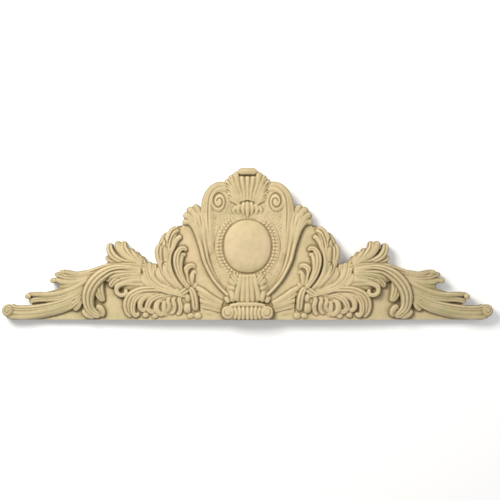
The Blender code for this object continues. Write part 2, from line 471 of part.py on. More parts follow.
def eased(height, width):
    """The heights evened out over their neighbours with a bell curve, none read past the silhouette."""
    there = (height > NOWHERE / 2).astype(float)
    parts = [height * there, there]
    shares = [(step, np.exp(-0.5 * (step / width) ** 2)) for step in range(-2, 3)]
    for axis in (0, 1):
        parts = [sum(share * np.roll(part, step, axis) for step, share in shares) for part in parts]
    return np.where(there > 0, parts[0] / np.maximum(parts[1], 1e-6), NOWHERE)


def placed(points):
    """Drawn millimetres to metres, with the depths of the board and of the relief each to its size."""
    out, up, depth = points.T
    board = np.minimum(depth, DRAWN_BOARD) * BOARD / DRAWN_BOARD
    relief_part = np.maximum(depth - DRAWN_BOARD, 0) * RELIEF / DRAWN_RELIEF
    return np.stack([out * LENGTH / DRAWN_LENGTH, -board - relief_part,
                     (up / DRAWN_HEIGHT - 0.5) * HEIGHT], axis=1)


def block(out, up, height):
    """One closed skin: the carved face over each cell with four carved corners, the back, and walls.

    Cells that touch only at a corner are dropped, so that every edge has two faces. The outline is
    smoothed in plan, back and front alike: each point moves halfway to the mean of its neighbours.
    """
    carved = height > NOWHERE / 2
    cell = carved[:-1, :-1] & carved[1:, :-1] & carved[:-1, 1:] & carved[1:, 1:]
    for _ in range(12):
        low_left, low_right = cell[:-1, :-1], cell[:-1, 1:]
        high_left, high_right = cell[1:, :-1], cell[1:, 1:]
        one_way = low_left & high_right & ~low_right & ~high_left
        other_way = low_right & high_left & ~low_left & ~high_right
        low_left[one_way] = False
        low_right[other_way] = False
    framed = np.pad(cell, 1)
    used = framed[:-1, :-1] | framed[1:, :-1] | framed[:-1, 1:] | framed[1:, 1:]
    number = np.cumsum(used).reshape(used.shape) - 1
    back = number + used.sum()
    row, column = np.nonzero(cell)
    corners = [(row, column), (row, column + 1), (row + 1, column + 1), (row + 1, column)]
    faces = [np.stack([number[corner] for corner in corners], axis=1),
             np.stack([back[corner] for corner in corners[::-1]], axis=1)]
    beyond = [framed[:-2, 1:-1], framed[1:-1, 2:], framed[2:, 1:-1], framed[1:-1, :-2]]
    for side, neighbour in enumerate(beyond):
        open_side = ~neighbour[row, column]
        first = tuple(k[open_side] for k in corners[side])
        second = tuple(k[open_side] for k in corners[(side + 1) % 4])
        faces.append(np.stack([number[second], number[first], back[first], back[second]], axis=1))
    place = np.stack(np.meshgrid(out, up), axis=2)
    weight = used[..., None].astype(float)
    beside = [(1, 0), (-1, 0), (1, 1), (-1, 1)]
    for _ in range(SMOOTHINGS):
        total = sum(np.roll(place * weight, *shift) for shift in beside)
        place = (place + total / np.maximum(sum(np.roll(weight, *shift) for shift in beside), 1)) / 2
    place[0, :, 1] = up[0]
    plan = place[used]
    front = np.hstack([plan, height[used][:, None]])
    rear = np.hstack([plan, np.full((len(plan), 1), -BEHIND)])
    return np.vstack([front, rear]), np.vstack(faces)


def evaluated(item):
    """The mesh of the object with its modifiers worked in."""
    graph = bpy.context.evaluated_depsgraph_get()
    mesh = bpy.data.meshes.new_from_object(item.evaluated_get(graph))
    item.modifiers.clear()
    old = item.data
    item.data = mesh
    bpy.data.meshes.remove(old)


def fitted(item):
    """Stretches the carving to its exact length, height above the underside and depth from the back."""
    mesh = item.data
    points = np.empty(len(mesh.vertices) * 3)
    mesh.vertices.foreach_get("co", points)
    points = points.reshape(-1, 3)
    floor = -HEIGHT / 2
    left, right = points[:, 0].min(), points[:, 0].max()
    points[:, 0] = (points[:, 0] - (left + right) / 2) * LENGTH / (right - left)
    points[:, 1] *= (BOARD + RELIEF) / -points[:, 1].min()
    points[:, 2] = floor + (points[:, 2] - floor) * HEIGHT / (points[:, 2].max() - floor)
    mesh.vertices.foreach_set("co", points.ravel())
    mesh.update()


def cut_flat(item, point, outward):
    """Takes away everything beyond a plane and closes the cut with a flat face."""
    work = bmesh.new()
    work.from_mesh(item.data)
    everything = work.verts[:] + work.edges[:] + work.faces[:]
    cut = bmesh.ops.bisect_plane(work, geom=everything, plane_co=point, plane_no=outward, clear_outer=True)
    rim = [edge for edge in cut["geom_cut"] if isinstance(edge, bmesh.types.BMEdge)]
    bmesh.ops.triangle_fill(work, edges=rim, use_beauty=True, use_dissolve=False)
    bmesh.ops.recalc_face_normals(work, faces=work.faces)
    work.to_mesh(item.data)
    work.free()


def stone():
    """Cast stone of a warm cream colour."""
    material = bpy.data.materials.new("cream_cast_stone")
    material.use_nodes = True
    shader = material.node_tree.nodes["Principled BSDF"]
    shader.inputs["Base Color"].default_value = (0.68, 0.52, 0.28, 1.0)
    shader.inputs["Roughness"].default_value = 0.7
    shader.inputs["Metallic"].default_value = 0.0
    return material


def build():
    for old in list(bpy.data.objects):
        bpy.data.objects.remove(old, do_unlink=True)
    out, up, height = relief(DETAIL * MILLIMETRES)
    vertices, faces = block(out, up, eased(tooled(height, 1), 0.8))
    mesh = bpy.data.meshes.new("overdoor_ornament")
    mesh.from_pydata(placed(vertices).tolist(), [], faces.tolist())
    ornament = bpy.data.objects.new("overdoor_ornament", mesh)
    bpy.context.scene.collection.objects.link(ornament)

    ornament.data.calc_loop_triangles()
    plain = ornament.modifiers.new("facets", "DECIMATE")
    plain.ratio = TRIANGLES / len(ornament.data.loop_triangles)
    evaluated(ornament)

    fitted(ornament)
    cut_flat(ornament, (0, 0, -HEIGHT / 2), (0, 0, -1))
    cut_flat(ornament, (0, 0, 0), (0, 1, 0))
    ornament.data.materials.clear()
    ornament.data.materials.append(stone())


build()
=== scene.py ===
"""Overdoor ornament: the finished look of the cast carving, for close views.

One cast piece stands for the plain faceted solid. Its blades, beads and bosses are drawn on a fine
grid, grown into one body and eased as a worn casting is, with small unevenness and a punched ground
on the shield. Its back and underside are plain and level. The material is a cream cast stone with
brown antiquing glaze together with painted shade in the recesses, and rubbed crests.
Metres, +Z up. The back lies in the plane y = 0 and the carving faces -Y.
"""
import math

import bpy
import numpy as np
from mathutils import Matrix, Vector


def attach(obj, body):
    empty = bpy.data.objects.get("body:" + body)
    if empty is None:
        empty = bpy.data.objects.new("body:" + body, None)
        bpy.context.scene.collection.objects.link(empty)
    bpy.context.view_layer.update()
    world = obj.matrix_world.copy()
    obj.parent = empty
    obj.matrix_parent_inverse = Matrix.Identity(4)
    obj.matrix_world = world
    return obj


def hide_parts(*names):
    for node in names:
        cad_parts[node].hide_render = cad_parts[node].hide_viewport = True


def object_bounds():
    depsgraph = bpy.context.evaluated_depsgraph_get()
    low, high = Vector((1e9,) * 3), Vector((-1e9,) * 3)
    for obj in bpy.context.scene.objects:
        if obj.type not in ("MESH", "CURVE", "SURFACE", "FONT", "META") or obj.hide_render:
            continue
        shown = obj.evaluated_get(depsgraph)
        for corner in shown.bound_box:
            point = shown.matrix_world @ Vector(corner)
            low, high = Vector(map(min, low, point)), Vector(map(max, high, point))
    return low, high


bl_info = {
    "name": "Overdoor Ornament",
    "version": (1, 0, 0),
    "blender": (4, 5, 0),
    "location": "3D View > Sidebar > Ornament",
    "description": "Builds a rococo overdoor relief in antiqued cast stone",
    "category": "Add Mesh",
}

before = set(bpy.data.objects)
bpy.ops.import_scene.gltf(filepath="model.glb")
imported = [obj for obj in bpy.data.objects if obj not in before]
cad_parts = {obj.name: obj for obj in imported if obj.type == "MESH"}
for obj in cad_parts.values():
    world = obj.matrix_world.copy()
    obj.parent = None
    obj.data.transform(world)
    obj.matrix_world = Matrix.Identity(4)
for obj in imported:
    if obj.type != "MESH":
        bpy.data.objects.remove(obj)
CAD_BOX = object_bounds()
NODE = "overdoor_ornament"

# The carving is drawn in millimetres for these sizes, and is fitted to the solid's box
DRAWN_LENGTH = 1470.0
DRAWN_HEIGHT = 453.0
DRAWN_BOARD = 24.0
DRAWN_RELIEF = 48.0
BEHIND = 8.0  # the carving is drawn this far past the underside, and is then trimmed
OVERLAP = 44.0  # shapes near the centre line are drawn this far across it
NOWHERE = -1000.0  # the height where there is no carving
SMOOTHINGS = 4  # how many times the outline is smoothed
CORNER_ROUNDS = 12  # how many times cells that touch only at a corner are looked for
LINE_FINENESS = 24  # steps for each point of a line, before it is divided evenly
LINE_STEP = 2.0  # length of the even steps in which a line is followed
SHORTEST_LINE = 6  # a line has at least this many points
TURN_POINTS = 16  # points for each turn of a spiral
TIP_COLUMNS = 4  # the grid runs this many columns past the tip
TOOL = 1  # reach in cells of the carver's tool, which fills the gaps narrower than itself
EASING = 0.7  # width in cells of the bell curve that wears the casting
EASING_REACH = 2  # and how many cells it reads to each side
ROUNDNESS = 0.62  # depth of the rounding of a blade as a share of its half width
DEEPEST_DOME = 12.0  # a wide blade is rounded no deeper than this
RIB_DEPTH = 0.7  # depth between two ribs as a share of half the width of one
RIB_END = 0.04  # towards a tip, the square of the blade's narrowing falls no lower than this
RIB_EDGE = 0.999  # ribs are read no further out than this share of the half width
FILLET = 1.5  # height over which two shapes run into each other where they meet
WIDE_RISE = 18.0  # the plain ground above the board, near the middle
WIDE_OUT = (210, 600)  # distances from the centre between which that rise falls to nothing
WIDE_UP = (150, 330)  # heights between which it loses the next share
WIDE_LOSS = 0.35
GROUND_EDGE = 14  # the ground comes down to the board over this width at the outline
SHIELD_RISE = 25.0  # the plain face of the shield above the board
SHIELD_MIDDLE = 232  # height of the shield's centre
SHIELD_RADII = (127, 172)
SHIELD_SQUARENESS = 3.2  # 2 is an oval, and more is nearer to a box
SHIELD_EDGE = (0.72, 1.02)  # shares of the radii between which its face comes down
OVAL = (0, 219)  # centre of the oval
PUNCHED_RADII = (118, 150)  # reach of the shield's punched ground across and up
PUNCHED_BAND = 3  # the ground is punched where it lies this close to the shield's plain face
PUNCHED_FADE = 3  # width in cells over which the dots fade at its edge
DOT_DEPTH = 0.38  # where the noise is as high as its usual spread
DOT_WIDTH = 1  # reach in cells over which the noise is evened
DEEPEST_DOT = 2  # the noise counts up to this many times its spread
UNEVENNESS = ((2, 0.05), (5, 0.14), (16, 0.35))  # width and depth of the waves of hand work
HAND = 1725  # seed of the random draws
INSIDE = 0.9996  # share of the solid's box that the finished carving fills
MOST_TRIANGLES = 199500
SHARP_FROM = 62  # edges with a greater angle in degrees stay sharp

# Glaze and painted shade: reach in cells of the mean height, how far below it they are full, and their
# strength
GLAZE_AND_SHADE = ((2, 0.45, 0.45), (4, 2.0, 0.45), (11, 16, 0.25))
NEAR = 2  # reach of the near mean, from which busy carving and crests are told
BUSY_GLAZE_AND_SHADE = (9, 0.22)  # reach and strength of the glaze and painted shade all over busy carving
RIM_GLAZE_AND_SHADE = (3, 0.9, 0.5, 0.4)  # glaze and painted shade at the outer edge: reach, shares of stone where it begins and is full, and strength
RUBBED = 0.8  # height above the near mean at which a crest is rubbed most
BACK_BAND = 0.004  # metres at the back that hold no glaze, painted shade or rubbed crest

# Each blade: the line of its crest from the centre line out and from the underside up, its half
# widths along that line, its rises above the board, and how many ribs it has side by side. A last
# number stands for how deeply the blade is rounded, and one below nought for a soft foot.
CREST = [
    ([(0, 356), (0, 392), (0, 430)], (4.2, 6.2, 7.5), (33, 37, 36), 1, 0.8),
    ([(8, 354), (11, 385), (15, 408), (17, 430)], (4.2, 5.6, 6.8, 8), (32, 36, 38, 36), 1, 0.8),
    ([(14, 353), (21, 380), (29, 404), (36, 441)], (4.2, 5.6, 7.4, 11), (31, 35, 38, 37), 1, 0.8),
    ([(18, 352), (29, 374), (40, 400), (52, 432)], (4.2, 5.6, 7.6, 11), (30, 34, 37, 33), 1, 0.8),
    ([(21, 350), (33, 369), (46, 391), (64, 420)], (4.2, 5.6, 7.4, 10.5), (29, 33, 35, 30), 1, 0.8),
    ([(22, 348), (35, 364), (48, 380), (64, 398)], (4.2, 5.4, 7, 8.5), (28, 32, 33, 28), 1, 0.8),
    ([(23, 346), (36, 358), (48, 368), (61, 380)], (4, 5, 6.4, 7.5), (27.5, 31, 32, 28), 1, 0.8),
    ([(23, 342), (35, 351), (46, 358), (56, 364)], (4, 4.8, 6, 7), (27, 30, 30, 27), 1, 0.8),
    ([(-14, 443), (0, 443), (16, 443), (30, 441)], (10.5, 10.5, 10.5, 8.5), (42, 43, 42, 39), 1, 0.6),
]
HUSK = [
    ([(0, 354), (0, 334), (0, 315)], (22, 26, 12), (27, 28, 25.5), 1, -0.2),
    ([(0, 354), (0, 328), (0, 306)], (4.5, 7, 3.4), (31, 33, 28), 1, 0.7),
    ([(10, 352), (14, 332), (11, 313)], (4.5, 6.5, 3), (30, 31.5, 27), 1, 0.7),
    ([(22, 346), (28, 330), (24, 315)], (4.5, 6.5, 3), (29, 30, 26.5), 1, 0.7),
    ([(33, 341), (41, 327), (37, 315)], (4.2, 5.6, 3), (28, 29, 26), 1, 0.7),
]
VOLUTE = [
    ([(56, 388), (70, 400), (90, 399), (108, 386), (121, 365), (126, 342), (127, 306)],
     (12, 12, 13, 13, 13, 12, 9), (27, 29, 30, 30, 29, 27, 24), 1),
    ([(58, 384), (76, 392), (96, 384), (110, 362), (116, 330), (116, 285), (113, 235), (107, 184)],
     (12, 16, 20, 22, 22, 21, 18, 15), (29, 33, 33, 32, 31, 30, 28, 21), 1, -0.3),
]
SIDE_LEAF = [
    ([(180, 316), (160, 300), (144, 262)], (22, 17, 10), (15, 19, 19), 1),
    ([(162, 343), (148, 328), (134, 287), (127, 227), (115, 168), (91, 117), (66, 88)],
     (11, 10, 6.4, 5, 4.6, 4.4), (18, 28, 30, 28, 26, 24), 1, 0.8),
    ([(181, 334), (161, 318), (141, 281), (131.5, 225), (119, 172)],
     (12, 10.5, 6.6, 4.6, 3), (18, 28, 30, 27, 24), 1, 0.8),
    ([(193, 315), (172, 305), (150, 275), (136, 222), (123, 168)],
     (12, 10.5, 6.6, 4.6, 3), (20, 29, 31, 28, 24), 1, 0.8),
    ([(196, 291), (172, 291), (154, 268), (140, 222), (127, 172), (103, 124), (80, 95), (57, 72)],
     (9.5, 8.5, 6, 5.2, 5, 5), (21, 31, 34, 34, 32, 30), 1, 0.9),
]
SCALLOP = [
    ([(222, 260), (240, 226), (246, 188), (240, 148), (224, 116), (202, 96)],
     (24, 26, 25, 22, 17, 11), (17, 22, 23, 24, 24, 22), 1),
    ([(196, 250), (208, 242), (220, 222), (228, 192), (231, 164), (226, 138), (212, 112), (193, 91)],
     (7, 7.5, 7.5, 7.5, 6), (24, 31, 33, 32, 28), 1),
    ([(204, 270), (220, 264), (232, 246), (239, 216), (241, 186), (239, 160), (230, 134), (202, 96)],
     (14, 14, 11, 8, 7, 6.5), (23, 31, 31, 30, 27), 1),
    ([(236, 250), (246, 226), (249, 196), (247, 165)], (9, 7, 6.5, 5), (24, 28, 28, 24), 1),
    ([(256, 226), (264, 208), (264, 184), (256, 158), (244, 132)],
     (13, 13, 10, 7.5, 5.5), (22, 29, 28, 26), 1),
    ([(247, 165), (247, 146), (237, 127), (222, 110), (206, 94)],
     (11.5, 9.5, 8, 6.5), (29, 33, 32, 27), 1),
    ([(267, 158), (263, 140), (250, 122), (233, 106), (214, 93)], (8, 7.5, 6.5), (24, 29, 25), 1),
]
SPRAY = [
    ([(202, 186), (208, 160), (198, 130), (180, 100)], (17, 18, 16, 11), (24, 30, 31, 28), 1),
    ([(181, 205), (189, 213), (202, 209), (211, 190), (212, 165), (204, 138), (190, 114), (174, 94)],
     (6, 9, 11, 10, 8.5, 7), (26, 36, 40, 39, 34), 2),
    ([(184, 190), (192, 194), (199, 178), (200, 154), (193, 130), (182, 106)],
     (5.5, 7.5, 7.5, 6.5, 5.5), (26, 34, 37, 35, 31), 1),
    ([(155, 153), (163, 161), (176, 158), (184, 146), (183, 126), (173, 98)],
     (6, 9, 9.5, 9, 7), (21, 30, 34, 33, 29), 2),
    ([(152, 134), (159, 140), (166, 126), (168, 100)], (6.5, 8.5, 8, 6.5), (19, 26, 28, 26), 1),
    ([(152, 114), (156, 106), (163, 92)], (7, 8, 8), (18, 24, 24), 1),
]
BASE_SPRAY = [
    ([(150, 62), (116, 49), (82, 36)], (38, 27, 15), (20, 22, 21), 1),
    ([(155, 97), (133, 85), (112, 70), (92, 58), (73, 49)], (8, 8.5, 8, 6.5), (23, 27, 26, 24), 1),
    ([(150, 80), (126, 67), (101, 53), (76, 42)], (8.5, 9, 8, 6), (23, 26, 25, 24), 2),
    ([(146, 61), (121, 52), (98, 43), (76, 34)], (8.5, 9, 7.5, 6), (22, 25, 24, 22), 1),
    ([(142, 43), (119, 38), (96, 31), (78, 25)], (8.5, 9, 7.5, 6), (20, 23, 22, 21), 2),
    ([(138, 25), (115, 22), (92, 15)], (9, 9, 7), (17, 20, 18), 1),
    ([(134, 6), (108, 8), (84, 7)], (8, 8, 6), (15, 17, 15), 1, 0.4),
]
CALYX = [
    ([(186, 92), (188, 56), (188, 20)], (34, 42, 44), (24, 24, 20), 1, 0.3),
    ([(172, 98), (162, 78), (157, 54), (155, 26)], (8, 10.5, 11, 9.5), (31, 34, 32, 27), 2),
    ([(184, 78), (178, 64), (178, 52)], (6, 8, 6), (27, 30, 27), 1, 0.6),
    ([(196, 76), (203, 60), (199, 40), (202, 22), (211, 14)],
     (5.5, 7, 7.5, 7, 6), (26, 29, 29, 26, 23), 2, 0.7),
    ([(174, 95), (192, 82), (211, 72)], (11, 11, 9), (30, 32, 28), 2),
    ([(214, 72), (221, 58), (217, 40), (221, 24), (230, 17)],
     (5.5, 6.5, 7, 6.5, 5.5), (26, 28, 28, 25, 23), 2, 0.7),
    ([(230, 70), (237, 56), (233, 42), (237, 30), (244, 24)],
     (5, 6, 6.5, 6, 5), (25, 27, 27, 25, 22), 1, 0.7),
    ([(200, 92), (218, 82), (246, 76)], (9, 10, 9), (27, 30, 27), 1),
    ([(144, 9), (190, 8), (246, 8)], (8, 8, 7), (17, 19, 16), 1, 0.4),
]
PENDANT = [
    ([(0, 136), (0, 95), (0, 48)], (36, 32, 50), (29, 32, 30), 1, 0.4),
    ([(44, 128), (47, 98), (48, 72), (52, 52)], (12, 15, 15, 16), (24, 27, 27, 26), 1, 0.4),
    ([(0, 136), (0, 98), (0, 50)], (5, 6.5, 7), (38, 42, 39), 1),
    ([(9, 137), (12, 100), (15, 52)], (5.5, 7, 7.5), (36, 41, 38), 1),
    ([(19, 138), (24, 104), (30, 78), (31, 54)], (6, 7.5, 8.5, 8), (35, 39, 38, 34), 1),
    ([(48, 138), (40, 128), (29, 112), (25, 96)], (10, 9.5, 8, 5.5), (27, 34, 37, 35), 2),
    ([(59, 120), (46, 114), (35, 103)], (9.5, 9, 7), (26, 33, 36), 1),
    ([(59, 101), (48, 97), (37, 92)], (8.5, 8, 7), (26, 32, 35), 1),
    ([(60, 83), (49, 80), (43, 68), (45, 52)], (9, 9.5, 8.5, 8), (26, 33, 35, 31), 1),
    ([(68, 69), (60, 61), (57, 49)], (8, 8, 7), (24, 28, 28), 1),
]
BLOCK = [
    ([(-24, 21), (0, 21), (40, 21), (60, 21)], (24, 24, 24, 21), (37, 38, 38, 37), 1, 0.2),
    ([(-14, 45), (0, 46), (28, 46), (54, 41)], (6, 6, 6, 5.5), (41, 42, 41, 38), 1),
    ([(0, 40), (0, 21), (0, 0)], (5, 5.4, 5), (42, 45, 43), 1, 0.8),
    ([(13.5, 40), (11.5, 21), (13.5, 0)], (4.8, 5.2, 4.8), (42, 45, 43), 1, 0.8),
    ([(26, 40), (22.5, 21), (26, 0)], (4.8, 5.2, 4.8), (42, 45, 43), 1, 0.8),
    ([(38, 38), (33, 21), (38, 2)], (4.4, 4.8, 4.4), (42, 44, 42), 1, 0.8),
]
WING_ROOT = [
    ([(292, 150), (278, 122), (240, 94), (192, 76)], (32, 30, 20, 14), (20, 25, 27, 25), 1),
    ([(308, 171), (305, 147), (297, 122), (277, 101), (251, 88), (215, 78), (184, 70)],
     (9, 9, 8.5, 7.5, 6.5), (22, 30, 33, 32, 29), 2),
    ([(293, 173), (292, 150), (283, 126), (264, 107), (238, 94), (204, 82)],
     (9, 9, 8, 6.5), (21, 29, 30, 27), 1),
    ([(278, 169), (278, 150), (270, 131), (252, 112), (228, 98)],
     (8.5, 8.5, 7.5, 6.5), (19, 27, 28, 26), 2),
    ([(318, 140), (311, 120), (297, 105), (274, 92)], (8.5, 9, 8, 6.5), (26, 31, 31, 28), 1),
    ([(332, 120), (317, 106), (296, 93)], (8.5, 8.5, 7), (26, 29, 27), 1),
]
PLUME = [
    ([(384, 204), (358, 184), (316, 165)], (34, 27, 9), (17, 22, 24), 1),
    ([(411, 230), (411, 208), (398, 188), (372, 174), (344, 166), (314, 162)],
     (10, 12, 10, 8, 6), (16, 26, 28, 29, 27), 2),
    ([(424, 190), (414, 182), (394, 174), (366, 168)], (8, 10, 8, 6), (16, 22, 24, 23), 2),
    ([(390, 236), (384, 216), (368, 195), (344, 178), (314, 164)],
     (9, 11, 9, 7, 5), (18, 27, 30, 29, 27), 1),
    ([(370, 236), (368, 214), (354, 194), (336, 177), (314, 165)],
     (9.5, 11, 9, 7, 5), (18, 28, 31, 30, 27), 2),
    ([(350, 214), (345, 199), (330, 182), (313, 168)], (9, 10, 8, 5.5), (18, 27, 28, 26), 1),
    ([(334, 204), (328, 190), (313, 172)], (8, 8.5, 6), (17, 24, 24), 1),
    ([(318, 190), (311, 176), (302, 160)], (7, 8, 7), (16, 22, 22), 1),
]
STEM = [
    ([(302, 158), (350, 164), (408, 161), (444, 151), (480, 138), (520, 123)],
     (9, 9, 9, 9.5, 10, 9), (25, 29, 29, 27, 23, 18), 2),
    ([(316, 149), (360, 155), (400, 151), (434, 134), (458, 110), (472, 84), (476, 58), (471, 34),
      (456, 18), (438, 13)],
     (8, 10, 14, 18, 20, 19, 15, 11), (29, 35, 38, 40, 39, 35, 27, 20), 3),
    ([(438, 118), (444, 92), (438, 68), (428, 54)], (9, 15, 14, 8), (24, 28, 26, 20), 3),
    ([(492, 30), (478, 14), (456, 8)], (9, 9, 7), (18, 21, 17), 1),
    ([(452, 42), (438, 34), (432, 20), (440, 10)], (7, 8.5, 8, 7), (19, 25, 24, 18), 1),
]
INNER_LEAF = [
    ([(388, 116), (350, 118), (314, 118)], (32, 30, 24), (23, 29, 28), 1),
    ([(420, 113), (410, 130), (386, 138), (350, 142), (316, 141)],
     (12, 13, 10, 8.5, 7.5), (25, 34, 36, 35, 32), 2),
    ([(410, 96), (402, 110), (384, 124), (352, 130), (316, 130)],
     (9, 11, 10, 8.5, 7.5), (24, 32, 34, 34, 31), 2),
    ([(390, 92), (382, 104), (366, 114), (340, 119), (314, 118)], (9, 10, 9, 8), (24, 31, 33, 31), 1),
    ([(364, 92), (363, 79), (376, 73), (389, 82), (388, 99), (370, 108), (345, 109), (312, 106)],
     (5.5, 6.5, 7, 8, 8, 7.5, 7), (28, 32, 33, 33, 32, 30, 28), 1),
    ([(352, 97), (332, 99), (306, 98)], (7, 8, 7), (23, 27, 26), 1),
]
LOWER_LEAF = [
    ([(320, 44), (308, 64), (284, 72), (240, 75), (196, 72)],
     (34, 30, 24, 16, 11), (20, 24, 25, 26, 25), 1),
    ([(344, 8), (357, 24), (360, 50), (348, 74), (320, 89), (290, 92), (258, 90), (224, 83), (190, 74)],
     (9, 12, 11.5, 10.5, 9.5, 8.5, 7), (20, 29, 33, 33, 31, 28), 2),
    ([(322, 20), (334, 13), (342, 28), (339, 54), (322, 74), (294, 82), (262, 81)],
     (6, 8, 9.5, 10, 8.5, 6.5), (24, 28, 30, 31, 29, 27), 2),
    ([(302, 36), (311, 28), (320, 38), (316, 58), (298, 72), (272, 77)],
     (5.5, 7.5, 9, 8, 6.5), (24, 28, 30, 29, 26), 1),
    ([(312, 8), (304, 14), (294, 12)], (7, 8, 7), (22, 25, 22), 1),
    ([(276, 30), (286, 23), (298, 36), (289, 58), (268, 70), (242, 75)],
     (6, 8.5, 10, 9, 7), (23, 28, 30, 28, 26), 2),
    ([(284, 6), (274, 12), (264, 10)], (7, 8, 7), (21, 24, 21), 1),
    ([(248, 24), (258, 16), (271, 30), (269, 50), (254, 64)], (6, 8, 9, 8.5, 7), (22, 26, 28, 26, 23), 1),
    ([(243, 8), (249, 34), (247, 58)], (8, 8, 7), (20, 24, 24), 1),
]
FRONDS = [
    ([(562, 118), (520, 118), (476, 122)], (20, 22, 22), (14, 18, 20), 1),
    ([(640, 66), (590, 69), (540, 82), (490, 104)], (13, 17, 21, 26), (12, 16, 18, 19), 1),
    ([(716, 22), (650, 20), (600, 28), (545, 46), (494, 76)],
     (19, 20, 20, 22, 22), (11, 14, 16, 18, 19), 1),
    ([(557, 144), (538, 141), (518, 137), (495, 138), (468, 143)],
     (7, 8, 8, 9, 7.5), (15, 20, 21, 22, 24), 1),
    ([(578, 136), (562, 134), (540, 128), (510, 127), (480, 134)],
     (8, 9.5, 9, 8, 7), (13, 19, 20, 22, 23), 2),
    ([(586, 115), (576, 118), (552, 113), (522, 112), (492, 120), (466, 131)],
     (6, 8, 9, 8.5, 7, 5.5), (13, 19, 20, 21, 22, 23), 1),
    ([(566, 102), (540, 101), (512, 106), (486, 117)], (8.5, 8.5, 8, 6.5), (12, 18, 20, 21), 1),
    ([(660, 73), (645, 76), (622, 76), (596, 74), (566, 78), (536, 88), (506, 102), (474, 121)],
     (7, 7, 7.5, 7.5, 7.5, 7.5, 7, 6), (13, 19, 20, 21, 23, 23), 1),
    ([(655, 54), (628, 60), (596, 61), (556, 66), (520, 80), (488, 100)],
     (8.5, 8.5, 8.5, 8, 6.5), (12, 17, 19, 21, 21), 2),
    ([(722, 14), (705, 8), (670, 8), (630, 13), (584, 24)], (8, 8, 7.5, 7, 6), (13, 15, 15, 16), 1),
    ([(712, 40), (690, 34), (652, 34), (606, 40), (556, 52), (516, 69), (484, 92)],
     (9, 9, 9, 9, 9, 7.5), (14, 17, 19, 21, 22), 2),
    ([(704, 22), (680, 20), (640, 22), (596, 30), (556, 42), (520, 58)],
     (7.5, 8.5, 8.5, 8, 7), (14, 16, 18, 19, 20), 1),
    ([(552, 30), (528, 40), (510, 54), (496, 74)], (8, 9, 9, 7), (14, 18, 21, 21), 2),
    ([(520, 28), (506, 40), (497, 60)], (8, 8, 7.5), (14, 18, 20), 1),
]

# Grooves: line, half widths and depths
GROOVES = [
    ([(-4, 431), (10, 431), (22, 431), (28, 438)], (3.5, 4, 3, 2), (4, 4, 3.4, 2)),
    ([(34, 430), (40, 436), (42, 446)], (2.2, 2.4, 2.2), (4, 4, 3)),
    ([(47, 418), (53, 424), (57, 431)], (2.2, 2.4, 2.2), (4, 4, 3)),
    ([(64, 408), (52, 396)], (3.2, 2.4), (6, 3)),
    ([(62, 390), (48, 377)], (3.2, 2.4), (6, 3)),
    ([(58, 373), (45, 364)], (3.2, 2.4), (6, 3)),
    ([(84, 354), (87, 353)], (3.6, 3.6), (6, 6)),
    ([(70, 399), (88, 397), (105, 383), (115, 360), (118, 325), (117, 285), (113, 245)],
     (1.8, 2.8, 3, 2.8, 1.8), (1, 3, 3.4, 3, 1)),
    ([(55, 22), (59, 23)], (2.6, 2.6), (5, 5)),
    ([(214, 214), (222, 196), (224, 172), (218, 146), (206, 120), (194, 104)],
     (2, 3.5, 4, 4, 3, 2), (4, 10, 12, 11, 7, 4)),
    ([(268, 158), (276, 138), (266, 120), (250, 106)], (1.8, 2.4, 2.2, 1.8), (2, 4, 4, 2)),
    ([(330, 168), (370, 172), (412, 168)], (1.8, 2.4, 1.8), (2, 4, 2)),
    ([(340, 146), (380, 149), (412, 142), (434, 124)], (1.8, 2.6, 2.6, 1.8), (2, 4, 5, 3)),
    ([(191, 172), (192, 155), (188, 138), (180, 118)], (2, 3, 3.2, 2), (3, 9, 10, 4)),
    ([(145, 76), (144, 50), (142, 22)], (2, 3, 2.6), (3, 7, 6)),
    ([(168, 60), (169, 40), (167, 20)], (1.6, 2.2, 1.6), (2, 4, 2)),
    ([(196, 268), (208, 272), (222, 265), (231, 248), (237, 226), (240, 198)],
     (2.4, 3, 3, 2.2), (3.5, 5.5, 5, 2)),
    ([(204, 259), (215, 256), (225, 240), (231, 212)], (2.4, 2.8, 2.2), (3, 5, 2)),
    ([(249, 245), (243, 230), (244, 206)], (3.4, 3.4, 2.4), (8, 6, 2)),
    ([(238, 212), (245, 220), (252, 214), (253, 196), (250, 176)], (2.4, 2.8, 2.4), (3, 5, 2)),
    ([(256, 229), (262, 217), (264, 198), (260, 176)], (2.4, 2.8, 2.2), (3, 5, 2)),
    ([(239, 169), (247, 173), (254, 165), (253, 148), (245, 132)], (2.4, 2.8, 2.4), (3, 5, 2)),
    ([(152, 335), (141, 308), (135, 270)], (1.8, 2.2, 1.8), (1, 2.6, 1)),
    ([(174, 331), (155, 310), (144, 276)], (1.8, 2.2, 1.8), (1, 2.6, 1)),
    ([(188, 313), (165, 301), (153, 274)], (1.8, 2.2, 1.8), (1, 2.6, 1)),
    ([(402, 236), (403, 226), (396, 208)], (2.6, 3.4, 2), (5, 8, 2)),
    ([(386, 124), (374, 119)], (2.6, 2), (4, 2)),
    ([(575, 112), (560, 107)], (2.4, 2), (4, 2)),
    ([(650, 66), (628, 67)], (2.4, 2), (4, 2)),
    ([(545, 138), (528, 132)], (2.4, 2), (3, 2)),
]

# Spiral grooves: centre, outer radii, inner radii, start in degrees, turns, half widths and depths
SPIRAL_GROOVES = [
    ((85, 353), (25, 35), (5, 5), -15, 2.0, (2.4, 4.2, 4.4, 4.0, 3.2), (1, 2.6, 4.0, 4.4, 4)),
    ((57, 22), (15, 15), (6, 6), 150, 1.25, (2, 2.6, 2.6, 2), (1, 3, 3, 2)),
    ((718, 27), (11, 12), (3, 3), 200, 1.3, (2, 2.6, 2.6, 2), (1, 2.6, 3, 3)),
    (OVAL, (73, 82), (73, 82), 91, 0.51, (3.2, 3.2), (1.6, 1.6)),
    (OVAL, (98, 107), (98, 107), 72, 0.42, (1.2, 2.4, 2.4, 2.4, 1.2), (0.2, 1.6, 2, 1.6, 0.2)),
]

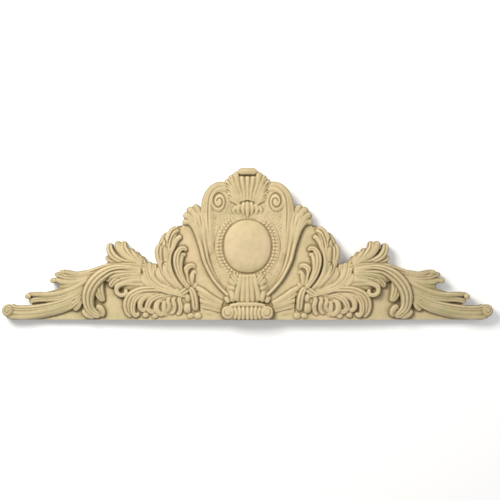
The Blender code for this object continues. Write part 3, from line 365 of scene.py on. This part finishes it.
# Round bosses: centre, radii across and up, rise above the board, depth of the dome, which is below
# nought for a soft foot, and squareness
BOSSES = [
    ((0, 402), (54, 46), 29, 8, 3.0),
    (OVAL, (70, 79), 37, 12, 2.2),
    ((86, 353), (45, 53), 34, -10, 2.0),
    ((57, 22), (20, 20), 45, 9, 2.2),
    ((179, 35), (12, 16), 30, 9, 2.2),
    ((228, 42), (20, 26), 23, -4, 2.2),
    ((309, 150), (7, 9), 27, -4, 2.0),
    ((29, 131), (6, 7), 31, -3, 2.2),
    ((34, 101), (7, 8), 32, -3, 2.2),
    ((40, 87), (7, 8), 31, -3, 2.2),
    ((57, 69), (7, 7), 26, -3, 2.2),
    ((26, 57), (8, 5), 33, -3, 2.2),
    ((148, 12), (11, 10), 24, 6, 2.2),
    ((170, 12), (10, 9), 24, 6, 2.2),
    ((718, 27), (17, 19), 20, 9, 2.0),
    ((656, 70), (10, 9), 21, 7, 2.0),
    ((580, 117), (11, 9), 20, 7, 2.0),
    ((553, 142), (11, 8), 20, 7, 2.0),
]
BEAD_ROWS = [(79.5, 88.5, 4.3, 28.5), (89, 98, 4.2, 27.5)]  # radii across and up, of a bead, and its rise
BEAD_ARC = (-68, 52)  # degrees at which the rows begin and end, from straight out
BEAD_PITCH = 10.5
BEAD_STEPS = 400  # steps in which the length of a row is measured

# Outline of the board from the crest out to the tip and on below the underside, where it is trimmed
OUTLINE = [
    (0, 444), (30, 440), (42, 430), (54, 418), (64, 408), (82, 406), (96, 400), (112, 386), (122, 372),
    (130, 356), (136, 341), (138, 333), (150, 333), (174, 318), (188, 300), (196, 284), (210, 281),
    (222, 272), (234, 256), (244, 243), (256, 236), (264, 226), (269, 214), (270, 190), (269, 168),
    (300, 160), (314, 172), (328, 188), (344, 204), (364, 214), (390, 216), (408, 208), (412, 186),
    (420, 172), (440, 157), (480, 145), (524, 139), (534, 112), (562, 92), (620, 66), (652, 40),
    (700, 34), (722, 24), (702, 6), (686, -BEHIND),
]

GROUPS = (CREST, HUSK, VOLUTE, SIDE_LEAF, SCALLOP, SPRAY, BASE_SPRAY, CALYX, PENDANT, BLOCK,
          WING_ROOT, PLUME, STEM, INNER_LEAF, LOWER_LEAF, FRONDS)

# Stage, in metres
BACKDROP_REACH = 6.0
BACKDROP_BEHIND = 0.008  # it stands this far behind the back of the piece
BACKDROP_BRIGHTNESS = 0.66
LAMP_AIM = (0, 0, -0.05)  # both lamps point here
FILL_SHARE = 0.26  # power of the fill lamp as a share of the key lamp's
SENSOR_WIDTH = 36.0  # millimetres
VIEW_RIGHT = 0.0075  # the camera looks this far to the right of the centre line
VIEW_UP = 0.2085  # and this far above the underside
VIEW_FRONT = 0.03  # the view has its width this far in front of the back


class CarvingSettings(bpy.types.PropertyGroup):
    """How finely the casting is carved."""

    pitch: bpy.props.FloatProperty(
        name="Pitch", description="Grid that the relief is worked out on, in drawn millimetres",
        default=1.0, min=0.6, max=6.0)
    triangles: bpy.props.IntProperty(
        name="Triangles", description="Facets that the finished casting keeps",
        default=192000, min=5000, max=199000)


def colour_setting(name, description, red, green, blue):
    return bpy.props.FloatVectorProperty(name=name, description=description, subtype="COLOR", size=4,
                                         min=0.0, max=1.0, default=(red, green, blue, 1.0))


class StoneSettings(bpy.types.PropertyGroup):
    """Colours and grain of the cast stone."""

    cream: colour_setting("Cream", "Main colour of the stone", 0.43, 0.345, 0.19)
    rosy: colour_setting("Rosy", "Soft clouds in the cream", 0.45, 0.345, 0.205)
    pale: colour_setting("Pale", "Light streaks and rubbed crests", 0.53, 0.44, 0.27)
    olive: colour_setting("Olive", "Dull patches, more of them towards the tips", 0.31, 0.28, 0.14)
    # Brown and Deep Brown colour the recesses as glaze together with painted shade
    brown: colour_setting("Brown", "Glaze left in the recesses", 0.225, 0.165, 0.08)
    deep: colour_setting("Deep Brown", "Glaze in the deepest creases", 0.155, 0.11, 0.048)
    grain: bpy.props.FloatProperty(
        name="Grain", description="Strength of the fine grain and of the tool marks",
        default=0.35, min=0.0, max=1.0, subtype="FACTOR")


class StageSettings(bpy.types.PropertyGroup):
    """Camera and light round the ornament."""

    frame_width: bpy.props.FloatProperty(
        name="Frame Width", description="Width of the view at the ornament",
        default=1.5, min=0.5, max=5.0, subtype="DISTANCE", unit="LENGTH")
    lens: bpy.props.FloatProperty(
        name="Lens", description="Focal length in millimetres", default=110.0, min=35.0, max=200.0)
    key_power: bpy.props.FloatProperty(
        name="Key Light", description="Power of the large light at the upper left",
        default=131.0, min=0.0, max=2000.0)
    sky: bpy.props.FloatProperty(
        name="Sky", description="Strength of the even light from all round", default=0.56, min=0.0, max=5.0)
    glow: bpy.props.FloatProperty(
        name="Glow", description="Own light of the backdrop, which keeps the back of the piece visible",
        default=0.12, min=0.0, max=1.0)


def through(points, count):
    """A smooth curve through the points: cubic pieces whose slope at a point follows its neighbours."""
    knots = np.asarray(points, float)
    if knots.ndim == 1:
        knots = knots[:, None]
    padded = np.vstack([2 * knots[0] - knots[1], knots, 2 * knots[-1] - knots[-2]])
    place = np.linspace(0, len(knots) - 1, count)
    piece = np.minimum(place.astype(int), len(knots) - 2)
    t = (place - piece)[:, None]
    a, b, c, d = (padded[piece + k] for k in range(4))
    return 0.5 * (2 * b + (c - a) * t + (2 * a - 5 * b + 4 * c - d) * t**2
                  + (3 * b - a - 3 * c + d) * t**3)


def even(points, step):
    """The same curve in steps of equal length, and how far along each step is."""
    curve = through(points, LINE_FINENESS * len(points))
    run = np.concatenate([[0], np.cumsum(np.linalg.norm(np.diff(curve, axis=0), axis=1))])
    places = np.linspace(0, run[-1], max(SHORTEST_LINE, int(run[-1] / step) + 1))
    return np.stack([np.interp(places, run, curve[:, k]) for k in range(2)], axis=1), places


def smooth(low, high, value):
    """0 below low, 1 above high, and an easy slope t^2 (3 - 2 t) between them."""
    t = np.clip((value - low) / (high - low), 0, 1)
    return t * t * (3 - 2 * t)


def window(out, up, points, reach):
    """The rows and columns of the grid that lie within reach of the points."""
    low, high = np.min(points, axis=0) - reach, np.max(points, axis=0) + reach
    return slice(*np.searchsorted(up, (low[1], high[1]))), slice(*np.searchsorted(out, (low[0], high[0])))


def along(out, up, spine, widths, values):
    """How the grid near a line lies on it: across, nearness, the value there, half width, lack.

    Across is the distance from the line over the half width. Lack is how much of the half width is
    missing between the point and the tip. Nearness is across^2 + lack^2, and is 1 at the edge.
    """
    line, run = even(spine, LINE_STEP)
    slope = np.gradient(line, axis=0)
    slope /= np.linalg.norm(slope, axis=1, keepdims=True)
    half = through(widths, len(line))[:, 0]
    value = through(values, len(line))[:, 0]
    rows, columns = window(out, up, line, half.max())
    place_out, place_up = np.meshgrid(out[columns], up[rows])
    squares = (place_out[..., None] - line[:, 0]) ** 2 + (place_up[..., None] - line[:, 1]) ** 2
    near = np.argmin(squares, axis=2)
    away_out = place_out - line[near, 0]
    away_up = place_up - line[near, 1]
    place = run[near] + away_out * slope[near, 0] + away_up * slope[near, 1]
    half = np.interp(place, run, half)
    across = (away_up * slope[near, 0] - away_out * slope[near, 1]) / half
    lack = np.maximum(0, 1 - np.minimum(place, run[-1] - place) / half)
    return (rows, columns), across, across**2 + lack**2, np.interp(place, run, value), half, lack


def higher(old, new):
    """The higher of two heights, with a fillet where they meet: FILLET (1 - gap / FILLET)^2 / 4 more."""
    return np.maximum(old, new) + FILLET * np.maximum(0, 1 - abs(old - new) / FILLET) ** 2 / 4


def fall(nearness, soft):
    """How far a rounded form has fallen: 1 - sqrt(1 - nearness) to an upright side, or to a soft
    foot that runs out level, 1 - (1 - nearness)^2."""
    left = np.maximum(0, 1 - nearness)
    return 1 - left**2 if soft else 1 - np.sqrt(left)


def raise_blade(height, out, up, spine, widths, rises, ribs, roundness=ROUNDNESS):
    """A ridge along a line, higher than its edge by its dome, with ribs on it.

    A roundness below nought makes a soft swelling. The ribs fall by (1 - cos(pi local^2)) / 2
    between each other, where local runs from -1 to 1 across each of them.
    """
    spot, across, nearness, rise, half, lack = along(out, up, spine, widths, rises)
    dome = np.minimum(abs(roundness) * half, DEEPEST_DOME)
    top = DRAWN_BOARD + rise - dome * fall(nearness, roundness < 0)
    if ribs > 1:
        cap = np.sqrt(np.maximum(RIB_END, 1 - lack**2))
        local = 2 * ((np.clip(across / cap, -RIB_EDGE, RIB_EDGE) + 1) / 2 * ribs % 1) - 1
        top -= RIB_DEPTH * half / ribs * cap * (0.5 - 0.5 * np.cos(np.pi * local**2))
    height[spot] = np.where(nearness < 1, higher(height[spot], top), height[spot])


def raise_boss(height, out, up, centre, radii, rise, dome, squareness=2.0):
    """A dome whose plan is |u / a|^n + |v / b|^n < 1, with n its squareness. One below nought has a
    soft foot."""
    rows, columns = window(out, up, [centre], max(radii))
    place_out, place_up = np.meshgrid(out[columns], up[rows])
    nearness = (abs((place_out - centre[0]) / radii[0]) ** squareness
                + abs((place_up - centre[1]) / radii[1]) ** squareness)
    top = DRAWN_BOARD + rise - abs(dome) * fall(nearness, dome < 0)
    old = height[rows, columns]
    height[rows, columns] = np.where(nearness < 1, higher(old, top), old)


def cut_groove(height, out, up, spine, widths, depths):
    """A groove along a line, depth * (1 - nearness)^1.5 deep, which never cuts into the board."""
    spot, _, nearness, depth, _, _ = along(out, up, spine, widths, depths)
    old = height[spot]
    floor = np.minimum(old, DRAWN_BOARD)
    height[spot] = np.maximum(floor, old - depth * np.maximum(0, 1 - nearness) ** 1.5)


def ring_beads():
    """Rows of beads that follow the side of the oval at an even pitch."""
    found = []
    for across, up, radius, rise in BEAD_ROWS:
        angles = np.radians(np.linspace(*BEAD_ARC, BEAD_STEPS))
        row = np.stack([OVAL[0] + across * np.cos(angles), OVAL[1] + up * np.sin(angles)], axis=1)
        run = np.concatenate([[0], np.cumsum(np.linalg.norm(np.diff(row, axis=0), axis=1))])
        for place in np.arange(0, run[-1], BEAD_PITCH):
            centre = (np.interp(place, run, row[:, 0]), np.interp(place, run, row[:, 1]))
            found.append((centre, (radius, radius), rise, radius))
    return found


def plain_ground(out, up):
    """The board with its plain face: a wide low rise to the middle and the shield upon it.

    The shield's edge is |u / a|^n + |(v - middle) / b|^n = 1, with n its squareness.
    """
    edge = np.asarray(OUTLINE, float)
    below = np.interp(out, edge[:, 0], edge[:, 1]) - up
    wide = WIDE_RISE * (1 - smooth(*WIDE_OUT, out)) * (1 - WIDE_LOSS * smooth(*WIDE_UP, up))
    shares = (abs(out / SHIELD_RADII[0]), abs((up - SHIELD_MIDDLE) / SHIELD_RADII[1]))
    shield = (shares[0] ** SHIELD_SQUARENESS + shares[1] ** SHIELD_SQUARENESS) ** (1 / SHIELD_SQUARENESS)
    face = wide + (SHIELD_RISE - wide) * (1 - smooth(*SHIELD_EDGE, shield))
    inside = (below > 0) & (out < edge[:, 0].max())
    return np.where(inside, DRAWN_BOARD + face * smooth(0, GROUND_EDGE, below), NOWHERE)


def spiral(centre, outer, inner, start, turns):
    """Points of a spiral that winds clockwise from the outer radii to the inner, from a start in degrees."""
    share = np.linspace(0, 1, int(TURN_POINTS * turns) + 2)
    angle = np.radians(start) - 2 * np.pi * turns * share
    return np.stack([centre[k] + (outer[k] + (inner[k] - outer[k]) * share) * (np.cos, np.sin)[k](angle)
                     for k in (0, 1)], axis=1)


def relief(pitch):
    """Heights of the carving above the back on a grid, for both halves; NOWHERE where there is none."""
    over = int(OVERLAP / pitch)
    out = pitch * np.arange(-over, int(DRAWN_LENGTH / 2 / pitch) + TIP_COLUMNS)
    up = np.arange(-BEHIND, DRAWN_HEIGHT + BEHIND, pitch)
    height = plain_ground(*np.meshgrid(abs(out), up))
    for row in BOSSES + ring_beads():
        raise_boss(height, out, up, *row)
    for group in GROUPS:
        for row in group:
            raise_blade(height, out, up, *row)
    near = np.maximum(height[:, over::-1], height[:, over:2 * over + 1])
    height = np.hstack([near, height[:, 2 * over + 1:]])
    out = out[over:]
    for row in GROOVES:
        cut_groove(height, out, up, *row)
    for row in SPIRAL_GROOVES:
        cut_groove(height, out, up, spiral(*row[:5]), *row[5:])
    return np.concatenate([-out[:0:-1], out]), up, np.hstack([height[:, :0:-1], height])


def tooled(height, reach):
    """The heights with gaps narrower than the tool filled: highest within reach, then lowest within it."""
    steps = range(-reach, reach + 1)
    shifts = [(k, m) for k in steps for m in steps if k * k + m * m <= reach * reach + 1]
    swollen = np.maximum.reduce([np.roll(height, shift, (0, 1)) for shift in shifts])
    return np.minimum.reduce([np.roll(swollen, shift, (0, 1)) for shift in shifts])


def eased(height, width):
    """The heights evened out over their neighbours with a bell curve, none read past the silhouette."""
    there = (height > NOWHERE / 2).astype(float)
    parts = [height * there, there]
    steps = range(-EASING_REACH, EASING_REACH + 1)
    shares = [(step, np.exp(-0.5 * (step / width) ** 2)) for step in steps]
    for axis in (0, 1):
        parts = [sum(share * np.roll(part, step, axis) for step, share in shares) for part in parts]
    return np.where(there > 0, parts[0] / np.maximum(parts[1], 1e-6), NOWHERE)


def placed(points):
    """Drawn millimetres to metres in the solid's box."""
    low, high = CAD_BOX
    out, up, depth = points.T
    scale = -low.y / (DRAWN_BOARD + DRAWN_RELIEF)
    return np.stack([out * (high.x - low.x) / DRAWN_LENGTH, -depth * scale,
                     low.z + up * (high.z - low.z) / DRAWN_HEIGHT], axis=1)


def block(out, up, height):
    """One closed skin: the carved face over each cell with four carved corners, the back, and walls.

    Cells that touch only at a corner are dropped, so that every edge has two faces. The outline is
    smoothed in plan, back and front alike: each point moves halfway to the mean of its neighbours,
    while the underside stays level.
    """
    carved = height > NOWHERE / 2
    cell = carved[:-1, :-1] & carved[1:, :-1] & carved[:-1, 1:] & carved[1:, 1:]
    for _ in range(CORNER_ROUNDS):
        low_left, low_right = cell[:-1, :-1], cell[:-1, 1:]
        high_left, high_right = cell[1:, :-1], cell[1:, 1:]
        one_way = low_left & high_right & ~low_right & ~high_left
        other_way = low_right & high_left & ~low_left & ~high_right
        low_left[one_way] = False
        low_right[other_way] = False
    framed = np.pad(cell, 1)
    used = framed[:-1, :-1] | framed[1:, :-1] | framed[:-1, 1:] | framed[1:, 1:]
    number = np.cumsum(used).reshape(used.shape) - 1
    back = number + used.sum()
    row, column = np.nonzero(cell)
    corners = [(row, column), (row, column + 1), (row + 1, column + 1), (row + 1, column)]
    faces = [np.stack([number[corner] for corner in corners], axis=1),
             np.stack([back[corner] for corner in corners[::-1]], axis=1)]
    beyond = [framed[:-2, 1:-1], framed[1:-1, 2:], framed[2:, 1:-1], framed[1:-1, :-2]]
    for side, neighbour in enumerate(beyond):
        open_side = ~neighbour[row, column]
        first = tuple(k[open_side] for k in corners[side])
        second = tuple(k[open_side] for k in corners[(side + 1) % 4])
        faces.append(np.stack([number[second], number[first], back[first], back[second]], axis=1))
    place = np.stack(np.meshgrid(out, up), axis=2)
    weight = used[..., None].astype(float)
    beside = [(1, 0), (-1, 0), (1, 1), (-1, 1)]
    for _ in range(SMOOTHINGS):
        total = sum(np.roll(place * weight, *shift) for shift in beside)
        place = (place + total / np.maximum(sum(np.roll(weight, *shift) for shift in beside), 1)) / 2
    place[0, :, 1] = up[0]
    plan = place[used]
    front = np.hstack([plan, height[used][:, None]])
    rear = np.hstack([plan, np.zeros((len(plan), 1))])
    return np.vstack([front, rear]), np.vstack(faces)


def mesh_of(points, quads):
    """A mesh from arrays of places and of four corners for each face."""
    mesh = bpy.data.meshes.new("carving")
    mesh.vertices.add(len(points))
    mesh.vertices.foreach_set("co", points.astype(np.float32).ravel())
    mesh.loops.add(quads.size)
    mesh.loops.foreach_set("vertex_index", quads.ravel().astype(np.int32))
    mesh.polygons.add(len(quads))
    mesh.polygons.foreach_set("loop_start", np.arange(0, quads.size, 4, dtype=np.int32))
    mesh.update(calc_edges=True)
    return mesh


def worked_in(item):
    """Replaces the object's mesh by the one that its modifiers give."""
    graph = bpy.context.evaluated_depsgraph_get()
    mesh = bpy.data.meshes.new_from_object(item.evaluated_get(graph))
    item.modifiers.clear()
    old = item.data
    item.data = mesh
    bpy.data.meshes.remove(old)


def vertex_array(mesh):
    points = np.empty(len(mesh.vertices) * 3, np.float32)
    mesh.vertices.foreach_get("co", points)
    return points.reshape(-1, 3).astype(float)


def fitted(mesh):
    """Stretches the casting to just inside the solid's box."""
    low, high = CAD_BOX
    points = vertex_array(mesh)
    left, right = points[:, 0].min(), points[:, 0].max()
    middle = (low.x + high.x) / 2
    points[:, 0] = middle + (points[:, 0] - (left + right) / 2) * (high.x - low.x) / (right - left) * INSIDE
    points[:, 1] *= low.y * INSIDE / points[:, 1].min()
    points[:, 2] = low.z + (points[:, 2] - low.z) * (high.z - low.z) * INSIDE / (points[:, 2].max() - low.z)
    mesh.vertices.foreach_set("co", points.astype(np.float32).ravel())
    mesh.update()


def blurred(grid, reach):
    """Running mean over a square, twice, so that it falls off smoothly."""
    for _ in range(2):
        for axis in (0, 1):
            summed = np.cumsum(np.pad(grid, [(reach + 1, reach) if k == axis else (0, 0) for k in (0, 1)],
                                      mode="edge"), axis=axis)
            upper = np.take(summed, range(2 * reach + 1, summed.shape[axis]), axis=axis)
            lower = np.take(summed, range(0, summed.shape[axis] - 2 * reach - 1), axis=axis)
            grid = (upper - lower) / (2 * reach + 1)
    return grid


def handmade(out, up, height):
    """Small unevenness of hand work, and the dots punched into the plain ground of the shield.

    Both are evened white noise. The dots lie where the height is close to the shield's plain face and
    (u / a)^2 + ((v - middle) / b)^2 is less than one, and only the upper half of the noise cuts.
    """
    rng = np.random.default_rng(HAND)

    def waves(reach):
        wave = blurred(rng.standard_normal(height.shape), reach)
        return wave / wave.std()

    across, upward = PUNCHED_RADII
    inside = (out / across) ** 2 + ((up[:, None] - SHIELD_MIDDLE) / upward) ** 2 < 1
    ground = inside & (abs(height - DRAWN_BOARD - SHIELD_RISE) < PUNCHED_BAND)
    faded = blurred(ground.astype(float), PUNCHED_FADE)
    dots = DOT_DEPTH * faded * np.clip(waves(DOT_WIDTH), 0, DEEPEST_DOT)
    return height - dots + sum(deep * waves(reach) for reach, deep in UNEVENNESS)


def add_glaze_shade_and_wear(mesh, out, up, height):
    """Stores how far each point lies below or above the carving round it, as two vertex values.

    On the height grid a point is recessed by mean - height, with the mean taken close by for creases,
    further off for hollows and far off for the ground behind leaves; the recess is painted shade there
    as well as brown glaze. Busy carving holds some glaze and painted shade all over, and so does the
    outer edge. A crest stands above the near mean. Each point of the mesh reads the cell that it lies on.
    """
    low, high = CAD_BOX
    there = height > NOWHERE / 2
    solid = np.where(there, height, 0)

    def mean(reach):
        return blurred(solid, reach) / np.maximum(blurred(there.astype(float), reach), 1e-3)

    near = mean(NEAR) - height
    # Painted shade with the brown glaze: darker in creases, hollows, on the ground behind leaves, over busy
    # carving and at the outer edge
    recess = sum(np.clip((mean(reach) - height) / full, 0, 1) * strength for reach, full, strength in GLAZE_AND_SHADE)
    reach, strength = BUSY_GLAZE_AND_SHADE
    recess += np.clip(blurred(abs(near), reach), 0, 1) * strength
    reach, begin, full, strength = RIM_GLAZE_AND_SHADE
    recess += np.clip((begin - blurred(there.astype(float), reach)) / (begin - full), 0, 1) * strength
    points = vertex_array(mesh)
    place = [(points[:, 0] * DRAWN_LENGTH / (high.x - low.x), out),
             ((points[:, 2] - low.z) * DRAWN_HEIGHT / (high.z - low.z), up)]
    column, row = [np.clip(np.rint((value - line[0]) / (line[1] - line[0])).astype(int), 0, len(line) - 1)
                   for value, line in place]
    carved = there[row, column] & (points[:, 1] < -BACK_BAND)
    for name, grid in (("recess", recess), ("crest", -near / RUBBED)):
        layer = mesh.attributes.new(name, "FLOAT", "POINT")
        layer.data.foreach_set("value", (np.clip(grid[row, column], 0, 1) * carved).astype(np.float32))


class Field:
    """A shader socket that Python can calculate with."""

    def __init__(self, tree, socket):
        self.tree = tree
        self.socket = socket

    def math(self, operation, *others, clamp=False):
        node = self.tree.nodes.new("ShaderNodeMath")
        node.operation = operation
        node.use_clamp = clamp
        for place, value in enumerate((self, *others)):
            join(self.tree, node.inputs[place], value)
        return Field(self.tree, node.outputs[0])

    def __add__(self, other):
        return self.math("ADD", other)

    def __radd__(self, other):
        return self.math("ADD", other)

    def __sub__(self, other):
        return self.math("SUBTRACT", other)

    def __rsub__(self, other):
        return (self * -1.0).math("ADD", other)

    def __mul__(self, other):
        return self.math("MULTIPLY", other)

    def __rmul__(self, other):
        return self.math("MULTIPLY", other)

    def clamped(self):
        return self.math("ADD", 0.0, clamp=True)

    def between(self, low, high):
        """0 below low, 1 above high, smooth in between."""
        node = self.tree.nodes.new("ShaderNodeMapRange")
        node.interpolation_type = "SMOOTHSTEP"
        join(self.tree, node.inputs["Value"], self)
        node.inputs["From Min"].default_value = low
        node.inputs["From Max"].default_value = high
        return Field(self.tree, node.outputs["Result"])


def join(tree, target, value):
    """Links a field or a socket, or sets a plain value."""
    if isinstance(value, Field):
        value = value.socket
    if isinstance(value, bpy.types.NodeSocket):
        tree.links.new(value, target)
    else:
        target.default_value = value


class Finish:
    """A material whose nodes are made by name."""

    def __init__(self, name):
        self.material = bpy.data.materials.new(name)
        self.material.use_nodes = True
        self.tree = self.material.node_tree
        self.shader = self.tree.nodes["Principled BSDF"]
        self.output = self.tree.nodes["Material Output"]

    def node(self, kind, output=0, settings=None, **inputs):
        """One node: its type, the output to use, its settings, and its inputs by name with underscores
        for spaces."""
        made = self.tree.nodes.new(kind)
        for name, value in (settings or {}).items():
            setattr(made, name, value)
        for name, value in inputs.items():
            join(self.tree, made.inputs[name.replace("_", " ")], value)
        return Field(self.tree, made.outputs[output])

    def mix(self, share, first, second):
        """First colour where the share is 0, second where it is 1.

        The node has a set of sockets for each type, all with the same names. These are the colour ones.
        """
        made = self.tree.nodes.new("ShaderNodeMix")
        made.data_type = "RGBA"
        for place, value in ((0, share), (6, first), (7, second)):
            join(self.tree, made.inputs[place], value)
        return Field(self.tree, made.outputs[2])

    def set(self, **values):
        for name, value in values.items():
            join(self.tree, self.shader.inputs[name.replace("_", " ")], value)


def noise(finish, place, scale, detail, roughness=0.55):
    values = {"Vector": place, "Scale": scale, "Detail": detail, "Roughness": roughness}
    return finish.node("ShaderNodeTexNoise", **values)


def stone_finish(values):
    """Cream cast stone: mottling, brown glaze and painted shade in the recesses, rubbed crests, fine grain.
    """
    finish = Finish("antiqued_cast_stone")
    spot = finish.node("ShaderNodeTexCoord", "Object")
    place = finish.node("ShaderNodeMapping", Vector=spot, Location=(0.37, 0.11, 0.53))
    recess = finish.node("ShaderNodeAttribute", "Fac", {"attribute_name": "recess"})
    crest = finish.node("ShaderNodeAttribute", "Fac", {"attribute_name": "crest"})
    cloud = noise(finish, place, scale=5.0, detail=5.0)
    patch = noise(finish, place, scale=17.0, detail=6.0, roughness=0.6)
    speck = noise(finish, place, scale=260.0, detail=3.0, roughness=0.6)
    streak = noise(finish, place, scale=60.0, detail=5.0, roughness=0.65)

    sideways = finish.node("ShaderNodeSeparateXYZ", "X", Vector=spot)
    wings = (sideways * sideways).between(0.03, 0.40)
    ground = finish.mix(cloud.between(0.35, 0.68), values.cream, values.rosy)
    ground = finish.mix(patch.between(0.42, 0.72) * 0.55 + wings * 0.45, ground, values.olive)
    ground = finish.mix(streak.between(0.5, 0.75) * 0.3, ground, values.pale)
    ground = finish.mix((0.5 - streak).between(0.02, 0.2) * 0.35, ground, values.olive)
    # Painted shade with the glaze: the recess turns the colour brown, and deep brown in the deepest creases
    glaze_and_shade = (recess + (patch - 0.5) * 0.3 + (streak - 0.5) * 0.25 + wings * 0.09).between(-0.02, 0.9)
    colour = finish.mix(glaze_and_shade * 0.85, ground, values.brown)
    colour = finish.mix((recess + (streak - 0.5) * 0.2).between(0.65, 1.15) * 0.6, colour, values.deep)
    colour = finish.mix((crest + (streak - 0.5) * 0.6).between(0.25, 0.95) * 0.5, colour, values.pale)
    colour = finish.mix(speck.between(0.62, 0.8) * 0.22, colour, values.brown)
    finish.set(Base_Color=colour)
    finish.set(Roughness=(0.66 + (patch - 0.5) * 0.2 + recess * 0.12 - crest * 0.08).clamped())
    finish.set(Specular_IOR_Level=0.35)

    grain = speck * 0.6 + noise(finish, place, scale=700.0, detail=2.0) * 0.4
    tooling = noise(finish, place, scale=95.0, detail=4.0, roughness=0.6)
    height = grain * 0.35 + tooling * 0.65
    finish.set(Normal=finish.node("ShaderNodeBump", Strength=values.grain, Distance=0.0011, Height=height))
    return finish.material


def pale_finish(name, brightness):
    finish = Finish(name)
    finish.set(Base_Color=(brightness, brightness, brightness, 1.0), Roughness=0.9)
    return finish


class ORNAMENT_OT_casting(bpy.types.Operator):
    """Carve the ornament as one closed casting"""

    bl_idname = "ornament.casting"
    bl_label = "Casting"

    def execute(self, context):
        values = context.scene.ornament_carving
        out, up, height = relief(values.pitch)
        kept = up >= 0
        height = handmade(out, up, eased(tooled(height, TOOL), EASING))[kept]
        up = up[kept]
        points, quads = block(out, up, height)
        item = bpy.data.objects.new("cast_ornament", mesh_of(placed(points), quads))
        context.scene.collection.objects.link(item)
        item.data.calc_loop_triangles()
        fewer = item.modifiers.new("fewer_facets", "DECIMATE")
        fewer.ratio = min(1.0, values.triangles / len(item.data.loop_triangles))
        worked_in(item)
        add_glaze_shade_and_wear(item.data, out, up, height)
        fitted(item.data)
        if len(item.data.polygons) > MOST_TRIANGLES:
            raise RuntimeError("the casting has too many facets")
        item.data.shade_smooth()
        item.data.set_sharp_from_angle(angle=math.radians(SHARP_FROM))
        even_light = item.modifiers.new("weighted_normals", "WEIGHTED_NORMAL")
        even_light.keep_sharp = True
        item.data.materials.append(stone_finish(context.scene.ornament_stone))
        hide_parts(NODE)
        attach(item, "root")
        return {"FINISHED"}


class ORNAMENT_OT_stage(bpy.types.Operator):
    """Set a plain pale backdrop, soft light and the camera"""

    bl_idname = "ornament.stage"
    bl_label = "Stage"

    def execute(self, context):
        scene = context.scene
        values = scene.ornament_stage

        wall = bpy.data.meshes.new("backdrop")
        corners = [(-1, -1), (1, -1), (1, 1), (-1, 1)]
        wall.from_pydata([(BACKDROP_REACH * x, BACKDROP_BEHIND, BACKDROP_REACH * z) for x, z in corners],
                         [], [(0, 1, 2, 3)])
        backdrop = bpy.data.objects.new("backdrop", wall)
        scene.collection.objects.link(backdrop)
        finish = pale_finish("pale_backdrop", BACKDROP_BRIGHTNESS)
        finish.set(Emission_Color=(1.0, 1.0, 1.0, 1.0), Emission_Strength=values.glow)
        from_behind = finish.node("ShaderNodeNewGeometry", "Backfacing")
        clear = finish.node("ShaderNodeBsdfTransparent")
        choice = finish.tree.nodes.new("ShaderNodeMixShader")
        for socket, value in zip(choice.inputs, (from_behind, finish.shader.outputs[0], clear)):
            join(finish.tree, socket, value)
        join(finish.tree, finish.output.inputs["Surface"], choice.outputs[0])
        wall.materials.append(finish.material)

        world = bpy.data.worlds.new("studio")
        world.use_nodes = True
        sky = world.node_tree.nodes["Background"]
        sky.inputs["Color"].default_value = (1.0, 1.0, 1.0, 1.0)
        sky.inputs["Strength"].default_value = values.sky
        scene.world = world
        scene.view_settings.view_transform = "Standard"

        def lamp(name, place, size, power, colour):
            data = bpy.data.lights.new(name, "AREA")
            data.shape = "DISK"
            data.size = size
            data.energy = power
            data.color = colour
            item = bpy.data.objects.new(name, data)
            item.location = place
            item.rotation_mode = "QUATERNION"
            item.rotation_quaternion = (Vector(LAMP_AIM) - Vector(place)).to_track_quat("-Z", "Y")
            scene.collection.objects.link(item)

        lamp("key", place=(-1.3, -2.6, 1.35), size=1.4, power=values.key_power, colour=(1.0, 0.97, 0.92))
        lamp("fill", place=(2.6, -3.0, 0.4), size=2.5, power=values.key_power * FILL_SHARE,
             colour=(0.95, 0.97, 1.0))

        data = bpy.data.cameras.new("photo_camera")
        data.lens = values.lens
        data.sensor_width = SENSOR_WIDTH
        distance = values.frame_width * data.lens / data.sensor_width
        camera = bpy.data.objects.new("photo_camera", data)
        camera.location = (VIEW_RIGHT, -distance - VIEW_FRONT, CAD_BOX[0].z + VIEW_UP)
        camera.rotation_euler = (math.radians(90), 0, 0)
        scene.collection.objects.link(camera)
        scene.camera = camera
        return {"FINISHED"}


class ORNAMENT_PT_panel(bpy.types.Panel):
    """Sidebar panel of the ornament"""

    bl_label = "Overdoor Ornament"
    bl_idname = "ORNAMENT_PT_panel"
    bl_space_type = "VIEW_3D"
    bl_region_type = "UI"
    bl_category = "Ornament"

    def draw(self, context):
        scene = context.scene
        for groups, operator in (((scene.ornament_carving, scene.ornament_stone), "ornament.casting"),
                                 ((scene.ornament_stage,), "ornament.stage")):
            box = self.layout.box()
            for values in groups:
                for name in values.__annotations__:
                    box.prop(values, name)
            box.operator(operator)


CLASSES = (CarvingSettings, StoneSettings, StageSettings, ORNAMENT_OT_casting, ORNAMENT_OT_stage,
           ORNAMENT_PT_panel)


def register():
    for item in CLASSES:
        bpy.utils.register_class(item)
    bpy.types.Scene.ornament_carving = bpy.props.PointerProperty(type=CarvingSettings)
    bpy.types.Scene.ornament_stone = bpy.props.PointerProperty(type=StoneSettings)
    bpy.types.Scene.ornament_stage = bpy.props.PointerProperty(type=StageSettings)


def unregister():
    del bpy.types.Scene.ornament_stage
    del bpy.types.Scene.ornament_stone
    del bpy.types.Scene.ornament_carving
    for item in reversed(CLASSES):
        bpy.utils.unregister_class(item)


def main():
    register()
    bpy.ops.ornament.casting()
    bpy.ops.ornament.stage()
    bpy.context.view_layer.update()


if __name__ == "__main__":
    main()
